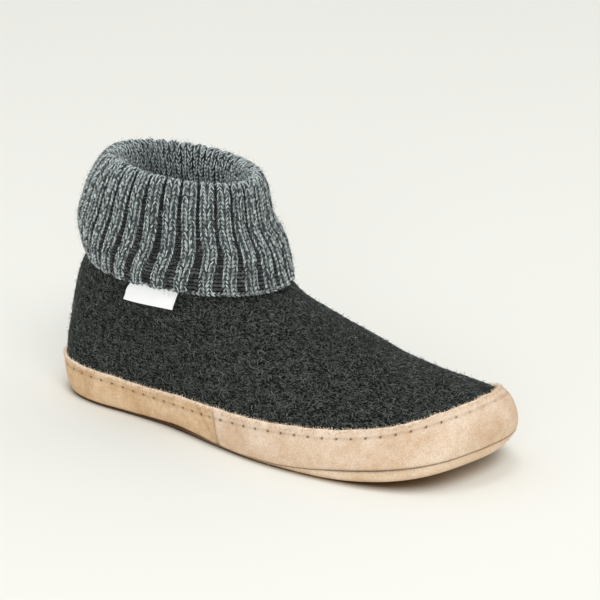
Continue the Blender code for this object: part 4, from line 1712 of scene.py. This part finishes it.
# %% [markdown]
# ## The bare label tab
# A small white woven tape is folded and caught in the seam, so that it hangs out below the hem on the
# outer side. It is left bare. The tape is thin and a little springy, so it bows off the felt towards its
# folded lower edge. It is drawn as one closed section, down the front, round the fold and up the back.
# The tape is given a faint glow of painted light, an emission that makes it whiter than the lamps do.

# %% Woven tape material
THREAD_SPACING = 0.0006
# A wave texture of scale one repeats every 0.314 m.
WAVE_LENGTH = 0.314
PAINTED_GLOW = 0.08
tape, tape_tree, tape_surface, tape_coords = start_material(
    "woven_polyester_tape_white", roughness=0.7, sheen=0.15, sheen_roughness=0.4
)
weave = []
for direction in ("X", "Z"):
    threads = add_node(
        tape_tree,
        "ShaderNodeTexWave",
        {"Vector": tape_coords, "Scale": WAVE_LENGTH / THREAD_SPACING, "Distortion": 0.4, "Detail": 1.0},
        bands_direction=direction,
    )
    weave.append(threads.outputs["Fac"])
woven = add_node(tape_tree, "ShaderNodeMath", {0: weave[0], 1: weave[1]}, operation="MULTIPLY")
tape_colour = add_node(
    tape_tree,
    "ShaderNodeMix",
    {0: woven.outputs[0], 6: linear("#e9eaea"), 7: linear("#fbfbfa")},
    data_type="RGBA",
)
paint(tape_tree, tape_surface, tape_colour.outputs[2], woven.outputs[0], strength=0.35, depth=0.0002)
# Painted light: the tape glows faintly, though it is no lamp.
tape_surface.inputs["Emission Color"].default_value = linear("#f4f7ff")
tape_surface.inputs["Emission Strength"].default_value = PAINTED_GLOW
print("tape:", tape.name)

# %% Build the tab
LABEL_ACROSS = 60
LABEL_DOWN = 22
LABEL_BOW = 0.15
LABEL_WAVES = 6.0
LABEL_DROP = 14.0
label_span = np.linspace(0.0, 1.0, LABEL_ACROSS)
label_low = label["height"].min()
label_top = label["height"].max()
label_heights = np.linspace(label_top, label_low + 0.5 * LABEL_THICKNESS, LABEL_DOWN)


def label_row(height, share):
    """Row of points across the tab at a height, at a share of its thickness."""
    clipped = max(height, label_low)
    here = {name: smooth(np.array(clipped), label["height"], values) for name, values in label.items()}
    x = here["start_x"] + label_span * (here["end_x"] - here["start_x"])
    row_turns = turn_at(x, clipped)
    bow = LABEL_BOW * np.sin(LABEL_WAVES * label_span) * (label_top - clipped) / LABEL_DROP
    distance = here["distance"] + bow + share * LABEL_THICKNESS
    points = felt_offset(level_at(clipped, row_turns), row_turns, distance)
    points[:, 2] += height - clipped
    return points


front_rows = [label_row(height, 1.0) for height in label_heights]
fold_rows = [
    label_row(label_heights[-1] - 0.5 * LABEL_THICKNESS * np.sin(angle), 0.5 + 0.5 * np.cos(angle))
    for angle in np.radians([30.0, 60.0, 90.0, 120.0, 150.0])
]
back_rows = [label_row(height, 0.0) for height in label_heights[::-1]]
label_points = np.array(front_rows + fold_rows + back_rows)
label_tab = make_piece("label_tab_bare", label_points, strip_faces(len(label_points), LABEL_ACROSS), tape)
dress(label_tab, "woven_label", "label_tab")

# %% [markdown]
# ## Floor, light and camera
# The boot stands on a pale seamless paper floor in a white room, which gives most of the light. Three weak
# softboxes shape it: one hangs above, one stands on the toe's side and one low in front. Light that bounces
# to and fro between tan suede and paper turns brown, more than a few bounces can show, so a brown shadow is
# painted on the paper itself where a narrow gap of up to 14 mm closes over it, which ambient occlusion
# measures. The camera looks from the front of the outer side, 19 degrees down, with a long lens, which
# keeps the boot's proportions as a catalogue picture has them.

# %% Matt paper, off-white with a hardly visible cloudiness, and a painted brown shadow in narrow gaps
GAP_REACH = 0.014
GAP_OPEN = 0.6
GAP_CLOSED = 0.1
CLOUDINESS = 0.333
paper, paper_tree, paper_surface, paper_coords = start_material(
    "matt_paper_off_white", roughness=0.9, sheen=0.0, sheen_roughness=0.5
)
cloudy = add_node(
    paper_tree,
    "ShaderNodeTexNoise",
    {"Vector": paper_coords, "Scale": 1 / CLOUDINESS, "Detail": 2.0},
)
paper_colour = add_node(
    paper_tree,
    "ShaderNodeMix",
    {0: cloudy.outputs["Fac"], 6: linear("#f0f0ea"), 7: linear("#eeeee8")},
    data_type="RGBA",
)
# Painted shadow: the paper turns brown where ambient occlusion finds a narrow gap closing over it.
openness = add_node(paper_tree, "ShaderNodeAmbientOcclusion", {"Distance": GAP_REACH}, samples=16)
narrowness = add_node(
    paper_tree,
    "ShaderNodeMapRange",
    {"Value": openness.outputs["AO"], "From Min": GAP_OPEN, "From Max": GAP_CLOSED},
)
painted_gap_shadow = add_node(
    paper_tree,
    "ShaderNodeMix",
    {0: narrowness.outputs["Result"], 6: paper_colour.outputs[2], 7: linear("#7d5a24")},
    data_type="RGBA",
)
paper_tree.links.new(painted_gap_shadow.outputs[2], paper_surface.inputs["Base Color"])
print("paper:", paper.name)

# %% Lay the floor
FLOOR_HALF = 4.0
FLOOR_HEIGHT = -0.0002
FLOOR_CORNERS = ((-1, -1), (1, -1), (1, 1), (-1, 1))
floor_points = [(x * FLOOR_HALF, y * FLOOR_HALF, FLOOR_HEIGHT) for x, y in FLOOR_CORNERS]
floor_mesh = bpy.data.meshes.new("floor")
floor_mesh.from_pydata(floor_points, [], [(0, 1, 2, 3)])
floor = bpy.data.objects.new("floor", floor_mesh)
bpy.context.scene.collection.objects.link(floor)
floor_mesh.materials.append(paper)
print("floor:", 2 * FLOOR_HALF, "m wide")

# %% Light
ROOM_STRENGTH = 0.75
LIGHT_TARGET = Vector((0.0, 0.0, 0.05))
world = bpy.data.worlds.new("white_room")
world.use_nodes = True
bpy.context.scene.world = world
sky = world.node_tree.nodes["Background"]
sky.inputs["Color"].default_value = linear("#fafaf9")
sky.inputs["Strength"].default_value = ROOM_STRENGTH


def add_softbox(name, place, width, power):
    """Add a square softbox that faces the boot."""
    box = bpy.data.lights.new(name, "AREA")
    box.size = width
    box.energy = power
    softbox = bpy.data.objects.new(name, box)
    softbox.location = place
    softbox.rotation_euler = (LIGHT_TARGET - Vector(place)).to_track_quat("-Z", "Y").to_euler()
    bpy.context.scene.collection.objects.link(softbox)
    print(name, "gives", power, "W")


add_softbox("softbox_above", (0.1, -0.1, 3.4), width=1.1, power=17.0)
add_softbox("softbox_toe", (1.9, -1.4, 2.6), width=1.3, power=30.0)
add_softbox("softbox_front", (1.5, -2.6, 0.75), width=1.5, power=27.0)
bpy.context.scene.view_settings.view_transform = "Standard"

# %% Camera
CAMERA_PLACE = Vector((0.7694, -1.0625, 0.5205))
CAMERA_TARGET = Vector((-0.1063, 0.1711, 0.0))
camera_data = bpy.data.cameras.new("camera")
camera_data.lens = 161.14
camera_data.sensor_width = 36.0
camera = bpy.data.objects.new("camera", camera_data)
camera.location = CAMERA_PLACE
camera.rotation_euler = (CAMERA_TARGET - CAMERA_PLACE).to_track_quat("-Z", "Y").to_euler()
bpy.context.scene.collection.objects.link(camera)
bpy.context.scene.camera = camera
print("camera looks from", round((CAMERA_TARGET - CAMERA_PLACE).length, 2), "m away")
